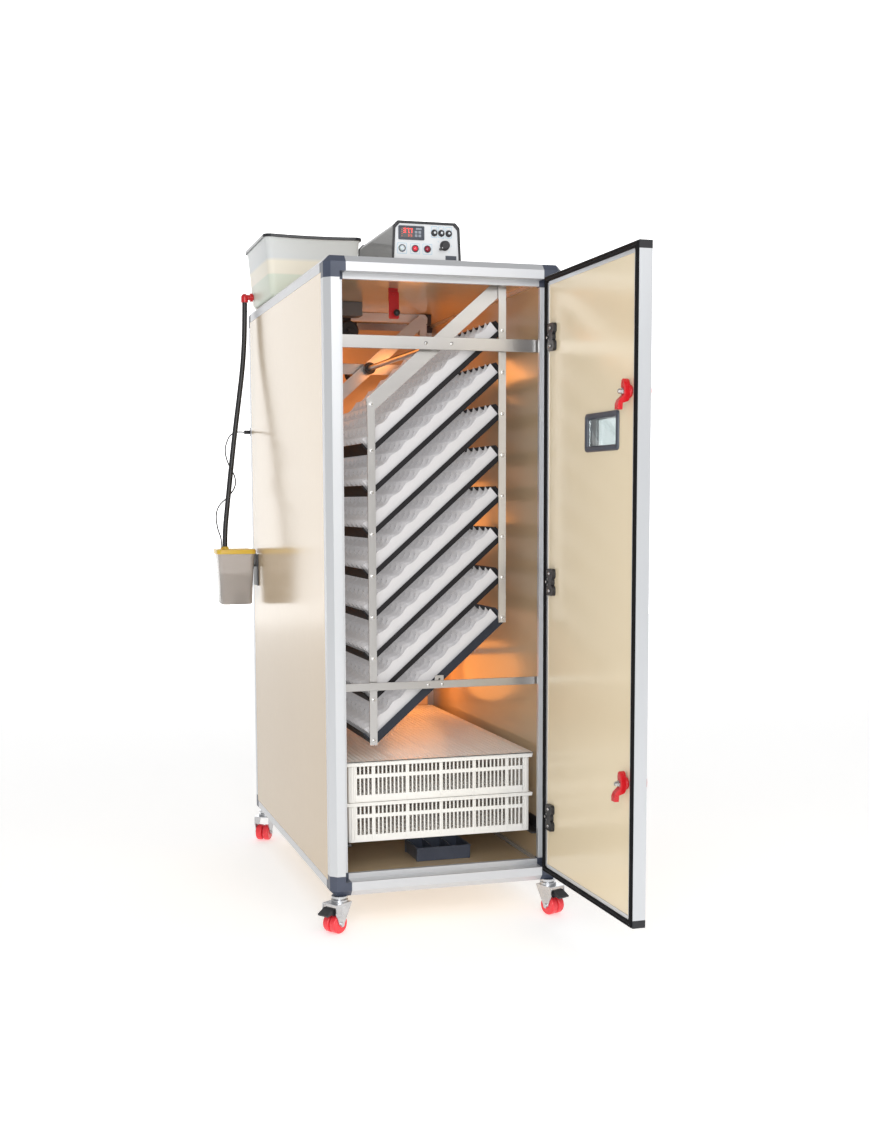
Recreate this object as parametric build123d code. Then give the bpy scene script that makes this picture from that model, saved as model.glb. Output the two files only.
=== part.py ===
from build123d import *
import os
from math import cos, radians, sin, tan

# Free-standing cabinet egg incubator: an insulated cabinet on castors with a tilting rack of
# eight egg trays, two hatching baskets, a hinged door, a control box and a gravity-fed water
# tank on the roof. Millimetres. While the parts are made, the origin is the cabinet body's
# front left bottom corner: X to the right, Y to the back, Z up. The last step moves
# everything so that the origin is on the floor, under the middle of the whole object.

# ---- cabinet ----
W = 624.0  # body width
D = 1130.0  # body depth
H = 1600.0  # body height, without the castors
CASTOR_H = 93.0
BAND = 38.0  # visible width of a frame profile
CHAMFER = 16.0  # bevel on the frame's outer edges
LIP = 52.0  # where the door's stop lip ends, from the outside
STOP = 37.0  # depth of the door's rebate
LIP_T = 12.0
WALL = 30.0  # thickness of the insulated panels
PROFILE_T = 2.5
GAP = 0.3  # fitting gap between neighbouring pieces

# ---- door, described closed, then swung open ----
DOOR_T = 31.5
SEAL_T = 5.0
SEAL_W = 14.0
DOOR_EDGE = 24.0  # width of the door's edge profile
DOOR_CAP = 18.0
DOOR_ANGLE = 90.6  # how far the door stands open at rest
DOOR_X0 = BAND + 0.8
DOOR_X1 = W - BAND - 0.8
DOOR_Z0 = BAND + 0.8
DOOR_Z1 = H - BAND - 0.8
PIN_X = W - 17.0
PIN_Y = -17.0
HINGE_Z = (191.0, 797.0, 1407.0)
WINDOW_X = (137.0, 326.0)
WINDOW_Z = (1115.0, 1205.0)
LATCH_X = 79.0
LATCH_Z = {"latch_lower": 366.0, "latch_upper": 1241.0}

# ---- turning rack ----
TILT = 41.4  # the rack stands tilted by this much at rest, right end high
RACK_X = 307.0
PIVOT_Z = 1400.0
TRAY_COUNT = 8
TRAY_1_Z = 1284.0
TRAY_PITCH = 106.0
HALF = 233.5  # from a tray's centre to its end pins
FRONT = 78.0  # front face of the tray channels
BACK = 794.0  # rear face of the tray channels
BAR_W = 20.0
BAR_T = 4.0
CHANNEL_T = 2.5
PIN_R = 3.0
SHAFT_R = 8.0
CROSS_BAR_T = 5.0
LOW_BAR_Z = 529.0


def box(x0, x1, y0, y1, z0, z1):
    """A block between two corners."""
    return Pos((x0 + x1) / 2, (y0 + y1) / 2, (z0 + z1) / 2) * Box(x1 - x0, y1 - y0, z1 - z0)


def prism(points, along):
    """A polygon, given by its corners in space, pushed along a vector."""
    outline = Face(Wire.make_polygon([Vector(*p) for p in points]))
    return Solid.extrude(outline, Vector(*along))


def rod(start, end, radius):
    """A round bar from start to end."""
    run = Vector(*end) - Vector(*start)
    return Solid.make_cylinder(radius, run.length, Plane(origin=Vector(*start), z_dir=run))


def tube(start, end, radius, bore):
    """A round bar from start to end with a hole through it."""
    run = (Vector(*end) - Vector(*start)).normalized()
    return rod(start, end, radius) - rod(Vector(*start) - run, Vector(*end) + run, bore)


def pieces(*shapes):
    """Every separate solid in the shapes."""
    found = []
    for shape in shapes:
        found += shape.solids()
    return found


def mirrored_x(shape):
    return shape.mirror(Plane(origin=(W / 2, 0, 0), z_dir=(1, 0, 0)))


def mirrored_y(shape):
    return shape.mirror(Plane(origin=(0, D / 2, 0), z_dir=(0, 1, 0)))


def mirrored_z(shape):
    return shape.mirror(Plane(origin=(0, 0, H / 2), z_dir=(0, 0, 1)))


def with_mirrors(shape, *mirrors):
    """The shape, and its copies across each of the given planes of symmetry."""
    found = [shape]
    for mirror in mirrors:
        found += [mirror(s) for s in found]
    return pieces(*found)


# ---------------------------------------------------------------- cabinet


# section of a front profile: distance in from the outside, distance back from the front
DOOR_SECTION = (
    (CHAMFER, 0),
    (BAND, 0),
    (BAND, STOP),
    (LIP, STOP),
    (LIP, STOP + LIP_T),
    (WALL, STOP + LIP_T),
    (WALL, STOP + 3),
    (0, STOP + 3),
    (0, CHAMFER),
)
DOOR_HOLLOW = (
    (CHAMFER + 1, PROFILE_T),
    (BAND - PROFILE_T, PROFILE_T),
    (BAND - PROFILE_T, STOP),
    (PROFILE_T, STOP),
    (PROFILE_T, CHAMFER + 1),
)
EDGE_SECTION = ((CHAMFER, 0), (BAND, 0), (BAND, BAND), (0, BAND), (0, CHAMFER))
EDGE_HOLLOW = (
    (CHAMFER + 1, PROFILE_T),
    (BAND - PROFILE_T, PROFILE_T),
    (BAND - PROFILE_T, BAND - PROFILE_T),
    (PROFILE_T, BAND - PROFILE_T),
    (PROFILE_T, CHAMFER + 1),
)
CORNER = LIP + 2.0  # how far the corner castings reach along each edge


def frame_uprights():
    run = (0, 0, H - 2 * CORNER)
    bar = prism([(a, b, CORNER) for a, b in DOOR_SECTION], run)
    bar -= prism([(a, b, CORNER) for a, b in DOOR_HOLLOW], run)
    return with_mirrors(bar, mirrored_x, mirrored_y)


def frame_rails():
    run = (W - 2 * CORNER, 0, 0)
    across = prism([(CORNER, b, a) for a, b in DOOR_SECTION], run)
    across -= prism([(CORNER, b, a) for a, b in DOOR_HOLLOW], run)
    run = (0, D - 2 * CORNER, 0)
    back = prism([(a, CORNER, b) for a, b in EDGE_SECTION], run)
    back -= prism([(a, CORNER, b) for a, b in EDGE_HOLLOW], run)
    return with_mirrors(across, mirrored_y, mirrored_z) + with_mirrors(back, mirrored_x, mirrored_z)


def corner_castings():
    """Eight bevelled corners, cut away for the door's rebate and for the panels."""
    c = CORNER
    body = box(0, c, 0, c, 0, c)
    body = chamfer(body.edges().filter_by(lambda e: on_outer_edge(e)), CHAMFER)
    body -= box(BAND, c + 1, -1, STOP, BAND, c + 1)
    body -= box(-1, WALL + GAP, STOP + 3, c + 1, BAND, c + 1)
    body -= box(BAND, c + 1, STOP + 3, c + 1, -1, WALL + GAP)
    return with_mirrors(body, mirrored_x, mirrored_y, mirrored_z)


def on_outer_edge(edge):
    """True for the three edges that meet at the cabinet's corner."""
    middle = edge.center()
    return [abs(v) < 0.01 for v in (middle.X, middle.Y, middle.Z)].count(True) == 2


def insulated_panels():
    front = STOP + 3 + GAP
    side = box(GAP, WALL, front, D - front, BAND + GAP, H - BAND - GAP)
    floor = box(BAND + GAP, W - BAND - GAP, front, D - front, GAP, WALL)
    rear = box(DOOR_X0, DOOR_X1, D - STOP + GAP, D - 3, DOOR_Z0, DOOR_Z1)
    return with_mirrors(side, mirrored_x) + with_mirrors(floor, mirrored_z) + pieces(rear)


def rear_baffle():
    """Air guide in front of the fan: a sheet on standoffs, open at its top and right edges."""
    sheet = box(WALL, 556, 1020, 1022, 150, 1542)
    sheet -= rod((RACK_X, 1015, 880), (RACK_X, 1030, 880), 118)
    sheet -= rod((RACK_X, 1015, PIVOT_Z), (RACK_X, 1030, PIVOT_Z), 20)
    feet = []
    for x in (60, 530):
        for z in (200, 1500):
            feet.append(rod((x, 1022, z), (x, D - STOP + GAP, z), 6))
    return pieces(sheet, *feet)


def cross_bars():
    """Four flat bars across the cabinet that carry the rack, with end tabs and bearings."""
    bars = []
    for face, way in ((58.0, 1), (BACK + 15 + CROSS_BAR_T, -1)):
        inner = face + way * CROSS_BAR_T
        y0, y1 = sorted((face, inner))
        for z, height in ((PIVOT_Z, 32.0), (LOW_BAR_Z, 20.0)):
            bar = box(WALL + 0.2, W - WALL - 0.2, y0, y1, z - height / 2, z + height / 2)
            if way < 0:
                bar -= rod((RACK_X, y0 - 1, PIVOT_Z), (RACK_X, y1 + 1, PIVOT_Z), 10)
            bars.append(bar)
            t0, t1 = sorted((inner, inner + way * 9))
            for x0 in (WALL + 0.2, W - WALL - 3.2):
                bars.append(box(x0, x0 + 3, t0, t1, z - height / 2, z + height / 2))
        lug_end = inner + way * 3
        y0, y1 = sorted((inner, lug_end))
        low_pin_z = tray_z(TRAY_COUNT)
        lug = box(RACK_X - 12, RACK_X + 12, y0, y1, LOW_BAR_Z - 10, low_pin_z + 10)
        bars.append(lug)
        bars.append(rod((RACK_X, lug_end, low_pin_z), (RACK_X, lug_end + way * 20, low_pin_z), PIN_R))
        bars.append(
            tube(
                (RACK_X, inner, PIVOT_Z),
                (RACK_X, inner + way * 12, PIVOT_Z),
                16,
                SHAFT_R + 0.06,
            )
        )
    return pieces(*bars)


def basket_rails():
    y0 = STOP + LIP_T + GAP
    leg = box(WALL + 0.2, WALL + 36, y0, 600, 118, 122)
    upright = box(WALL + 0.2, WALL + 4, y0, 600, 122, 152)
    return with_mirrors(leg, mirrored_x) + with_mirrors(upright, mirrored_x)


# ---------------------------------------------------------------- rack


def tray_z(number):
    """Height of a tray's centre, counted from the top."""
    return TRAY_1_Z - (number - 1) * TRAY_PITCH


def tilted(shape, z):
    """Turned from level to the rest tilt about the rack's centre line at height z."""
    return Pos(RACK_X, 0, z) * (Rot(0, -TILT, 0) * shape)


def pin_point(side, z):
    """Where an end pin is at rest: side is -1 for the left end and 1 for the right."""
    return (RACK_X + side * HALF * cos(radians(TILT)), z + side * HALF * sin(radians(TILT)))


def plates(x0, x1, y0, y1, bottom, top, wall):
    """An open box made of a floor and four walls, each a separate plate."""
    return [
        box(x0, x1, y0, y1, bottom, bottom + wall),
        box(x0, x0 + wall, y0, y1, bottom + wall, top),
        box(x1 - wall, x1, y0, y1, bottom + wall, top),
        box(x0 + wall, x1 - wall, y0, y0 + wall, bottom + wall, top),
        box(x0 + wall, x1 - wall, y1 - wall, y1, bottom + wall, top),
    ]


def tray(number):
    """A channel frame of four angle lengths and two moulded egg trays, as flat plates."""
    last = number == TRAY_COUNT
    low = -14.0 if last else -6.5
    high = 8.0 if last else 6.5
    end = HALF + 7.0
    ledge = 22.0
    found = []
    for wall, way in ((FRONT, 1), (BACK, -1)):
        y0, y1 = sorted((wall, wall + way * CHANNEL_T))
        web = box(-end, end, y0, y1, low, high)
        for side in (-1, 1):
            web -= rod((side * HALF, wall - 5, 0), (side * HALF, wall + 5, 0), PIN_R + 0.3)
        if last:
            web -= rod((0, wall - 5, 0), (0, wall + 5, 0), PIN_R + 0.06)
        found.append(web)
        y0, y1 = sorted((wall + way * CHANNEL_T, wall + way * ledge))
        found.append(box(-end, end, y0, y1, low, low + CHANNEL_T))
    y0 = FRONT + ledge + GAP
    y1 = BACK - ledge - GAP
    for side in (-1, 1):
        x0, x1 = sorted((side * end, side * (end - CHANNEL_T)))
        found.append(box(x0, x1, y0, y1, low, 30))
        x0, x1 = sorted((side * (end - CHANNEL_T), side * (end - ledge)))
        found.append(box(x0, x1, y0, y1, low, low + CHANNEL_T))
    middle = (FRONT + BACK) / 2
    bottom = low + CHANNEL_T + 0.2
    for y0, y1 in ((FRONT + 10, middle - 1), (middle + 1, BACK - 10)):
        found += plates(-229, 229, y0, y1, bottom, 39, 2)
    return pieces(*[tilted(s, tray_z(number)) for s in found])


def turning_shaft():
    """The shaft from the front bearing to the motor, with a beam welded on at each end."""
    shaft = rod((RACK_X, 64, PIVOT_Z), (RACK_X, 1040, PIVOT_Z), SHAFT_R)
    found = [shaft]
    for wall, way in ((FRONT, 1), (BACK, -1)):
        y0, y1 = sorted((wall, wall + way * BAR_T))
        end = HALF + 10
        beam = prism(
            [(-end, y0, -6), (-end + 12, y0, -18), (end - 12, y0, -18), (end, y0, -6)]
            + [(end, y0, 6), (end - 12, y0, 18), (-end + 12, y0, 18), (-end, y0, 6)],
            (0, BAR_T, 0),
        )
        beam -= rod((0, y0 - 1, 0), (0, y1 + 1, 0), SHAFT_R)
        for side in (-1, 1):
            beam -= rod((side * HALF, y0 - 1, 0), (side * HALF, y1 + 1, 0), PIN_R + 0.3)
        found.append(tilted(beam, PIVOT_Z))
        hub_end = (wall + way * BAR_T, wall + way * (BAR_T + 14))
        found.append(
            tube((RACK_X, hub_end[0], PIVOT_Z), (RACK_X, hub_end[1], PIVOT_Z), 16, SHAFT_R)
        )
    return pieces(*found)


def side_bars(side):
    """The two flat bars down one side of the rack, front and rear, and their bolts and nuts."""
    found = []
    heights = [PIVOT_Z] + [tray_z(n) for n in range(1, TRAY_COUNT + 1)]
    for wall, way in ((FRONT, -1), (BACK, 1)):
        near = wall + way * 4.0
        far = near + way * BAR_T
        y0, y1 = sorted((near, far))
        x, top = pin_point(side, PIVOT_Z)
        low = pin_point(side, tray_z(TRAY_COUNT))[1]
        bar = box(x - BAR_W / 2, x + BAR_W / 2, y0, y1, low - 12, top + 6)
        bar += rod((x, y0, top + 3), (x, y1, top + 3), BAR_W / 2)
        for level in heights:
            z = pin_point(side, level)[1]
            bar -= rod((x, y0 - 1, z), (x, y1 + 1, z), PIN_R)
            found.append(rod((x, far, z), (x, wall - way * 7.5, z), PIN_R))
            found.append(tube((x, far, z), (x, far + way * 2.5, z), 5.5, PIN_R))
            spacer = tube((x, near, z), (x, near - way * 3.6, z), 5.0, PIN_R)
            found.append(spacer)
        found.append(bar)
    return pieces(*found)


# ---------------------------------------------------------------- door


def opened(shape):
    """From the closed position to the rest position, swung about the hinge pins."""
    return Pos(PIN_X, PIN_Y, 0) * (Rot(0, 0, DOOR_ANGLE) * (Pos(-PIN_X, -PIN_Y, 0) * shape))


def door_edges():
    found = []
    section = (
        (0, 0),
        (DOOR_EDGE, 0),
        (DOOR_EDGE, 3),
        (3, 3),
        (3, DOOR_T - 3),
        (DOOR_EDGE, DOOR_T - 3),
        (DOOR_EDGE, DOOR_T),
        (0, DOOR_T),
    )
    z0 = DOOR_Z0 + DOOR_CAP
    run = (0, 0, DOOR_Z1 - DOOR_CAP - z0)
    found.append(prism([(DOOR_X0 + a, b, z0) for a, b in section], run))
    found.append(prism([(DOOR_X1 - a, b, z0) for a, b in section], run))
    x0 = DOOR_X0 + DOOR_EDGE
    run = (DOOR_X1 - DOOR_EDGE - x0, 0, 0)
    found.append(prism([(x0, b, DOOR_Z0 + a) for a, b in section], run))
    found.append(prism([(x0, b, DOOR_Z1 - a) for a, b in section], run))
    return pieces(*[opened(s) for s in found])


def door_corner_caps():
    found = []
    for x0 in (DOOR_X0, DOOR_X1 - DOOR_EDGE):
        for z0 in (DOOR_Z0, DOOR_Z1 - DOOR_CAP):
            cap = box(x0, x0 + DOOR_EDGE, 0, DOOR_T, z0, z0 + DOOR_CAP)
            found.append(opened(cap))
    return pieces(*found)


def door_panel():
    e = DOOR_EDGE
    panel = box(
        DOOR_X0 + 3, DOOR_X1 - 3, 3, DOOR_T - 3, DOOR_Z0 + DOOR_CAP, DOOR_Z1 - DOOR_CAP
    )
    x0, x1 = WINDOW_X
    z0, z1 = WINDOW_Z
    skin = box(DOOR_X0 + e, DOOR_X1 - e, 1.5, DOOR_T - 1.5, DOOR_Z0 + e, DOOR_Z1 - e)
    panel += skin
    panel -= box(x0 + 8, x1 - 8, -1, DOOR_T + 1, z0 + 8, z1 - 8)
    for z in LATCH_Z.values():
        panel -= rod((LATCH_X, -1, z), (LATCH_X, DOOR_T + 1, z), 6)
    return pieces(opened(panel))


def door_seal():
    y0, y1 = DOOR_T, DOOR_T + SEAL_T
    x0, x1 = DOOR_X0 + 1, DOOR_X1 - 1
    z0, z1 = DOOR_Z0 + 1, DOOR_Z1 - 1
    found = [
        box(x0, x0 + SEAL_W, y0, y1, z0, z1),
        box(x1 - SEAL_W, x1, y0, y1, z0, z1),
        box(x0 + SEAL_W, x1 - SEAL_W, y0, y1, z0, z0 + SEAL_W),
        box(x0 + SEAL_W, x1 - SEAL_W, y0, y1, z1 - SEAL_W, z1),
    ]
    return pieces(*[opened(s) for s in found])


def window_frame():
    x0, x1 = WINDOW_X
    z0, z1 = WINDOW_Z
    found = []
    for y0, y1 in ((-4.0, 1.5), (DOOR_T - 1.5, DOOR_T + 4.0)):
        ring = fillet(box(x0, x1, y0, y1, z0, z1).edges().filter_by(Axis.Y), 10)
        hole = fillet(
            box(x0 + 14, x1 - 14, y0 - 1, y1 + 1, z0 + 14, z1 - 14).edges().filter_by(Axis.Y), 5
        )
        found.append(ring - hole)
    liner = box(x0 + 8.2, x1 - 8.2, 1.6, DOOR_T - 1.6, z0 + 8.2, z1 - 8.2)
    liner -= box(x0 + 14, x1 - 14, 0, DOOR_T, z0 + 14, z1 - 14)
    found.append(liner)
    return pieces(*[opened(s) for s in found])


def window_glass():
    x0, x1 = WINDOW_X
    z0, z1 = WINDOW_Z
    found = []
    for y in (4.0, DOOR_T - 8.0):
        pane = box(x0 + 14.1, x1 - 14.1, y, y + 4, z0 + 14.1, z1 - 14.1)
        found.append(opened(pane))
    return pieces(*found)


def bone(width, height, thick, waist):
    """A flat plate with rounded ends and a narrow waist, flat in XZ, centred on the origin."""
    ends = []
    for side in (-1, 1):
        lobe = box(-width / 2, width / 2, 0, thick, -width * 0.3, width * 0.3)
        lobe = fillet(lobe.edges().filter_by(Axis.Y), width * 0.2)
        ends.append(Pos(0, 0, side * (height / 2 - width * 0.3)) * lobe)
    middle = box(-waist / 2, waist / 2, 0, thick, -height / 2 + width * 0.3, height / 2 - width * 0.3)
    return ends[0] + middle + ends[1] + rod((0, 0, 0), (0, thick, 0), waist * 0.62)


def door_hinge_leaves():
    """On the door: outer leaves with their knuckles, and backing plates inside the door."""
    found = []
    leaf_y = -4.0
    for z in HINGE_Z:
        leaf = box(DOOR_X1 - 44, DOOR_X1 - 1, leaf_y, 0, z - 33, z + 33)
        for z0, z1 in ((z - 33, z - 12), (z + 12, z + 33)):
            arm = prism(
                [(DOOR_X1 - 12, leaf_y, z0), (PIN_X - 4, PIN_Y - 3, z0)]
                + [(PIN_X, PIN_Y + 5, z0), (DOOR_X1 - 4, leaf_y + 4, z0)],
                (0, 0, z1 - z0),
            )
            leaf += arm
            leaf += rod((PIN_X, PIN_Y, z0), (PIN_X, PIN_Y, z1), 7)
        leaf -= rod((PIN_X, PIN_Y, z - 40), (PIN_X, PIN_Y, z + 40), 3.06)
        found.append(leaf)
        plate = Pos(DOOR_X1 - 51, DOOR_T - 1.5, z) * bone(42, 68, 9.0, 24)
        found.append(plate)
        for dz in (-22, 22):
            found.append(rod((DOOR_X1 - 51, DOOR_T + 7.5, z + dz), (DOOR_X1 - 51, DOOR_T + 9, z + dz), 4))
        found.append(rod((DOOR_X1 - 34, DOOR_T + 7.5, z), (DOOR_X1 - 34, DOOR_T + 10.5, z), 3.5))
    return pieces(*[opened(s) for s in found])


def frame_hinge_leaves():
    """On the cabinet: a leaf with the middle knuckle, and the hinge pin with its head."""
    found = []
    for z in HINGE_Z:
        leaf = box(W - BAND + 6, W - CHAMFER - 0.5, -4, 0, z - 33, z + 33)
        leaf += prism(
            [(W - 26, -4, z - 11.7), (PIN_X - 5, PIN_Y, z - 11.7)]
            + [(PIN_X + 5, PIN_Y, z - 11.7), (W - 18, -4, z - 11.7)],
            (0, 0, 23.4),
        )
        leaf += rod((PIN_X, PIN_Y, z - 11.7), (PIN_X, PIN_Y, z + 11.7), 7)
        leaf -= rod((PIN_X, PIN_Y, z - 40), (PIN_X, PIN_Y, z + 40), 3.0)
        found.append(leaf)
        found.append(rod((PIN_X, PIN_Y, z - 33), (PIN_X, PIN_Y, z + 33.2), 3.0))
        found.append(rod((PIN_X, PIN_Y, z + 33.2), (PIN_X, PIN_Y, z + 35.5), 5.0))
    return pieces(*found)


def latch(z):
    """Spindle through the door, hooked catch inside, lever outside, and the end nut."""
    spindle = rod((LATCH_X, -12, z), (LATCH_X, DOOR_T + 30, z), 5)
    catch = box(LATCH_X - 11, LATCH_X + 11, DOOR_T + 0.5, DOOR_T + 20, z - 22, z + 28)
    catch = fillet(catch.edges().filter_by(Axis.Y), 9)
    hook = prism(
        [(LATCH_X - 9, DOOR_T + 4, z - 14), (LATCH_X - 9, DOOR_T + 20, z - 8)]
        + [(LATCH_X - 9, DOOR_T + 34, z - 20), (LATCH_X - 9, DOOR_T + 34, z - 41)]
        + [(LATCH_X - 9, DOOR_T + 21, z - 41), (LATCH_X - 9, DOOR_T + 21, z - 24)]
        + [(LATCH_X - 9, DOOR_T + 4, z - 22)],
        (18, 0, 0),
    )
    catch = catch + hook
    catch -= rod((LATCH_X, DOOR_T - 1, z), (LATCH_X, DOOR_T + 40, z), 5)
    nut = Plane(origin=(LATCH_X, DOOR_T + 20, z), z_dir=(0, 1, 0)) * extrude(
        RegularPolygon(8, 6, major_radius=True), 7
    )
    nut -= rod((LATCH_X, DOOR_T, z), (LATCH_X, DOOR_T + 40, z), 5)
    lever = box(LATCH_X - 14, LATCH_X + 76, -14, -6, z - 15, z + 15)
    lever = fillet(lever.edges().filter_by(Axis.Y), 13)
    hub = rod((LATCH_X, -6, z), (LATCH_X, -0.5, z), 14)
    grip = (lever + hub) - rod((LATCH_X, -12, z), (LATCH_X, 1, z), 5)
    return pieces(*[opened(s) for s in (spindle, catch, nut, grip)])


# ---------------------------------------------------------------- castors

TRAIL = 18.0
WHEEL_R = 25.0
STEM = 27.0  # the castor's swivel axis, in from both sides of a corner
CASTORS = {
    "front_left": ((STEM, STEM), -146.0),
    "front_right": ((W - STEM, STEM), -68.0),
    "rear_left": ((STEM, D - STEM), -120.0),
    "rear_right": ((W - STEM, D - STEM), -75.0),
}


def castor_placed(shape, corner):
    """From the castor's own frame, swivel axis up and trailing along +X, to its corner."""
    (x, y), turn = CASTORS[corner]
    return Pos(x, y, 0) * (Rot(0, 0, turn) * shape)


def castor_plates():
    found = []
    for corner in CASTORS:
        plate = rod((0, 0, -5), (0, 0, 0), 21) + rod((0, 0, -9), (0, 0, -5), 16)
        found.append(castor_placed(plate, corner))
    return pieces(*found)


def castor_fork(corner):
    axle_z = WHEEL_R - CASTOR_H
    dome = rod((0, 0, -15), (0, 0, -9.3), 22)
    bridge = box(-20, 38, -25, 25, -17.5, -15)
    legs = []
    for y0 in (-25, 22.5):
        leg = prism(
            [(-20, y0, -17.5), (38, y0, -17.5), (39, y0, -37), (TRAIL + 9, y0, axle_z)]
            + [(TRAIL, y0, axle_z - 8), (TRAIL - 9, y0, axle_z)],
            (0, 2.5, 0),
        )
        legs.append(leg)
    body = dome + bridge + legs[0] + legs[1]
    axle = rod((TRAIL, -25, axle_z), (TRAIL, 25, axle_z), 3)
    body -= axle
    heads = [rod((TRAIL, s * 25, axle_z), (TRAIL, s * 28, axle_z), 6) for s in (-1, 1)]
    return pieces(*[castor_placed(s, corner) for s in (body, axle, *heads)])


def castor_wheels(corner):
    axle_z = WHEEL_R - CASTOR_H
    found = []
    for y0, y1 in ((-21.5, -1.5), (1.5, 21.5)):
        wheel = rod((TRAIL, y0, axle_z), (TRAIL, y1, axle_z), WHEEL_R)
        wheel = fillet(wheel.edges().filter_by(GeomType.CIRCLE), 5)
        hub_end = y0 - 0.8 if y0 < 0 else y1 + 0.8
        hub = rod((TRAIL, y0 if y0 < 0 else y1, axle_z), (TRAIL, hub_end, axle_z), 9)
        wheel += hub
        wheel -= rod((TRAIL, -40, axle_z), (TRAIL, 40, axle_z), 3.06)
        found.append(castor_placed(wheel, corner))
    return pieces(*found)


def brake_pedal(corner):
    outline = [(31, -25), (40, -25), (64, -38), (62, -42), (46, -39), (38, -44), (29, -39)]
    pedal = prism([(x, -17, z) for x, z in outline], (0, 34, 0))
    pin = rod((34, -22.4, -32), (34, 22.4, -32), 2.5)
    return pieces(castor_placed(pedal + pin, corner))


# ---------------------------------------------------------------- baskets and pan

BASKET_X = (56.0, 568.0)
BASKET_Y = (67.0, 562.0)
BASKET_Z0 = 122.5
BASKET_H = 104.0


def basket(level):
    """One stacking hatching basket with plain walls, counted from the bottom."""
    z0 = BASKET_Z0 + level * (BASKET_H + 0.5)
    z1 = z0 + BASKET_H
    x0, x1 = BASKET_X
    y0, y1 = BASKET_Y
    body = box(x0 + 7, x1 - 7, y0 + 7, y1 - 7, z0, z1)
    body += box(x0, x1, y0, y1, z1 - 14, z1)
    body -= box(x0 + 10, x1 - 10, y0 + 10, y1 - 10, z0 + 3, z1 + 1)
    return pieces(body)


def basket_lid():
    z = BASKET_Z0 + 2 * (BASKET_H + 0.5)
    return pieces(box(*BASKET_X, *BASKET_Y, z, z + 4))


def water_pan():
    x0, x1, y0, y1 = 276.0, 431.0, 180.0, 305.0
    z0, z1 = WALL + 0.2, WALL + 38.0
    body = box(x0, x1, y0, y1, z0, z1)
    cell = (x1 - x0 - 3 * 4) / 3
    for i in range(3):
        left = x0 + 3 + i * (cell + 3)
        body -= box(left, left + cell, y0 + 3, y1 - 3, z0 + 3, z1 + 1)
    return pieces(body)


# ---------------------------------------------------------------- inside the back


FAN_Z = 880.0


def turning_motor():
    """Gear motor on the rear wall, its hollow output over the shaft's end."""
    body = box(RACK_X - 45, RACK_X + 45, 1030, D - STOP, PIVOT_Z - 45, PIVOT_Z + 45)
    body -= rod((RACK_X, 1029, PIVOT_Z), (RACK_X, 1042, PIVOT_Z), SHAFT_R + 0.06)
    can = rod((RACK_X + 45, 1070, PIVOT_Z - 10), (RACK_X + 125, 1070, PIVOT_Z - 10), 20)
    switch_box = box(245, 300, 985, 1019.8, 1512, 1541)
    return pieces(body, can, switch_box)


def fan_heater():
    """Fan frame, motor and a heating coil behind the air guide."""
    y0, y1 = 1056.0, 1066.0
    guard = tube((RACK_X, y0, FAN_Z), (RACK_X, y1, FAN_Z), 122, 112)
    for angle in (45, 135):
        arm = Pos(RACK_X, (y0 + y1) / 2 + 2, FAN_Z) * (Rot(0, angle, 0) * Box(230, 4, 8))
        guard += arm
    guard -= rod((RACK_X, y0 - 1, FAN_Z), (RACK_X, y1 + 1, FAN_Z), 20)
    motor = rod((RACK_X, y0, FAN_Z), (RACK_X, D - STOP, FAN_Z), 20)
    spindle = rod((RACK_X, 1034, FAN_Z), (RACK_X, y0, FAN_Z), 4)
    coil = Pos(RACK_X, 1082, FAN_Z) * (Rot(90, 0, 0) * Torus(95, 4))
    return pieces(guard, motor, spindle, coil)


def fan_blades():
    hub = rod((RACK_X, 1036, FAN_Z), (RACK_X, 1052, FAN_Z), 16)
    for i in range(5):
        blade = Pos(60, 0, 0) * (Rot(24, 0, 0) * Box(92, 2, 34))
        blade = Rot(0, i * 72, 0) * blade
        hub += Pos(RACK_X, 1044, FAN_Z) * blade
    hub -= rod((RACK_X, 1030, FAN_Z), (RACK_X, 1060, FAN_Z), 4.06)
    return pieces(hub)


CEILING = H - WALL
LEVER_X = 256.0
LEVER_Y = 300.0
LEVER_Z = CEILING - 18.0  # the lever's pivot


def vent_lever():
    """Red lever under the ceiling, with its ball knob."""
    bar = box(LEVER_X - 14, LEVER_X + 14, LEVER_Y, LEVER_Y + 5, CEILING - 82, LEVER_Z + 8)
    bar -= rod((LEVER_X, LEVER_Y - 1, LEVER_Z), (LEVER_X, LEVER_Y + 6, LEVER_Z), 4.06)
    stem = rod((LEVER_X + 4, LEVER_Y - 6, CEILING - 67), (LEVER_X + 4, LEVER_Y, CEILING - 67), 4)
    knob = Pos(LEVER_X + 4, LEVER_Y - 13, CEILING - 67) * Sphere(9)
    return pieces(bar, stem + knob)


def vent_bracket():
    """The lever's pivot, on a plate under the ceiling."""
    plate = box(LEVER_X - 24, LEVER_X + 24, LEVER_Y + 8, LEVER_Y + 12, CEILING - 34, CEILING)
    pin = rod((LEVER_X, LEVER_Y - 2, LEVER_Z), (LEVER_X, LEVER_Y + 8, LEVER_Z), 4)
    return pieces(plate + pin)


# ---------------------------------------------------------------- control box


BOX_X = 277.5
BOX_Y0 = 60.0
BOX_Y1 = 430.0
BOX_H = 100.0
BOX_OUTLINE = ((-91, 0.3), (91, 0.3), (87, 88), (76, BOX_H), (-76, BOX_H), (-87, 88))


def box_outline(inset, y, depth):
    """The control box's front shape, made smaller by inset, as a block."""
    points = []
    for x, z in BOX_OUTLINE:
        way = 1 if x > 0 else -1
        drop = inset if z > 50 else -inset
        points.append((BOX_X + x - way * inset, y, H + z - drop))
    return prism(points, (0, depth, 0))


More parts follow.
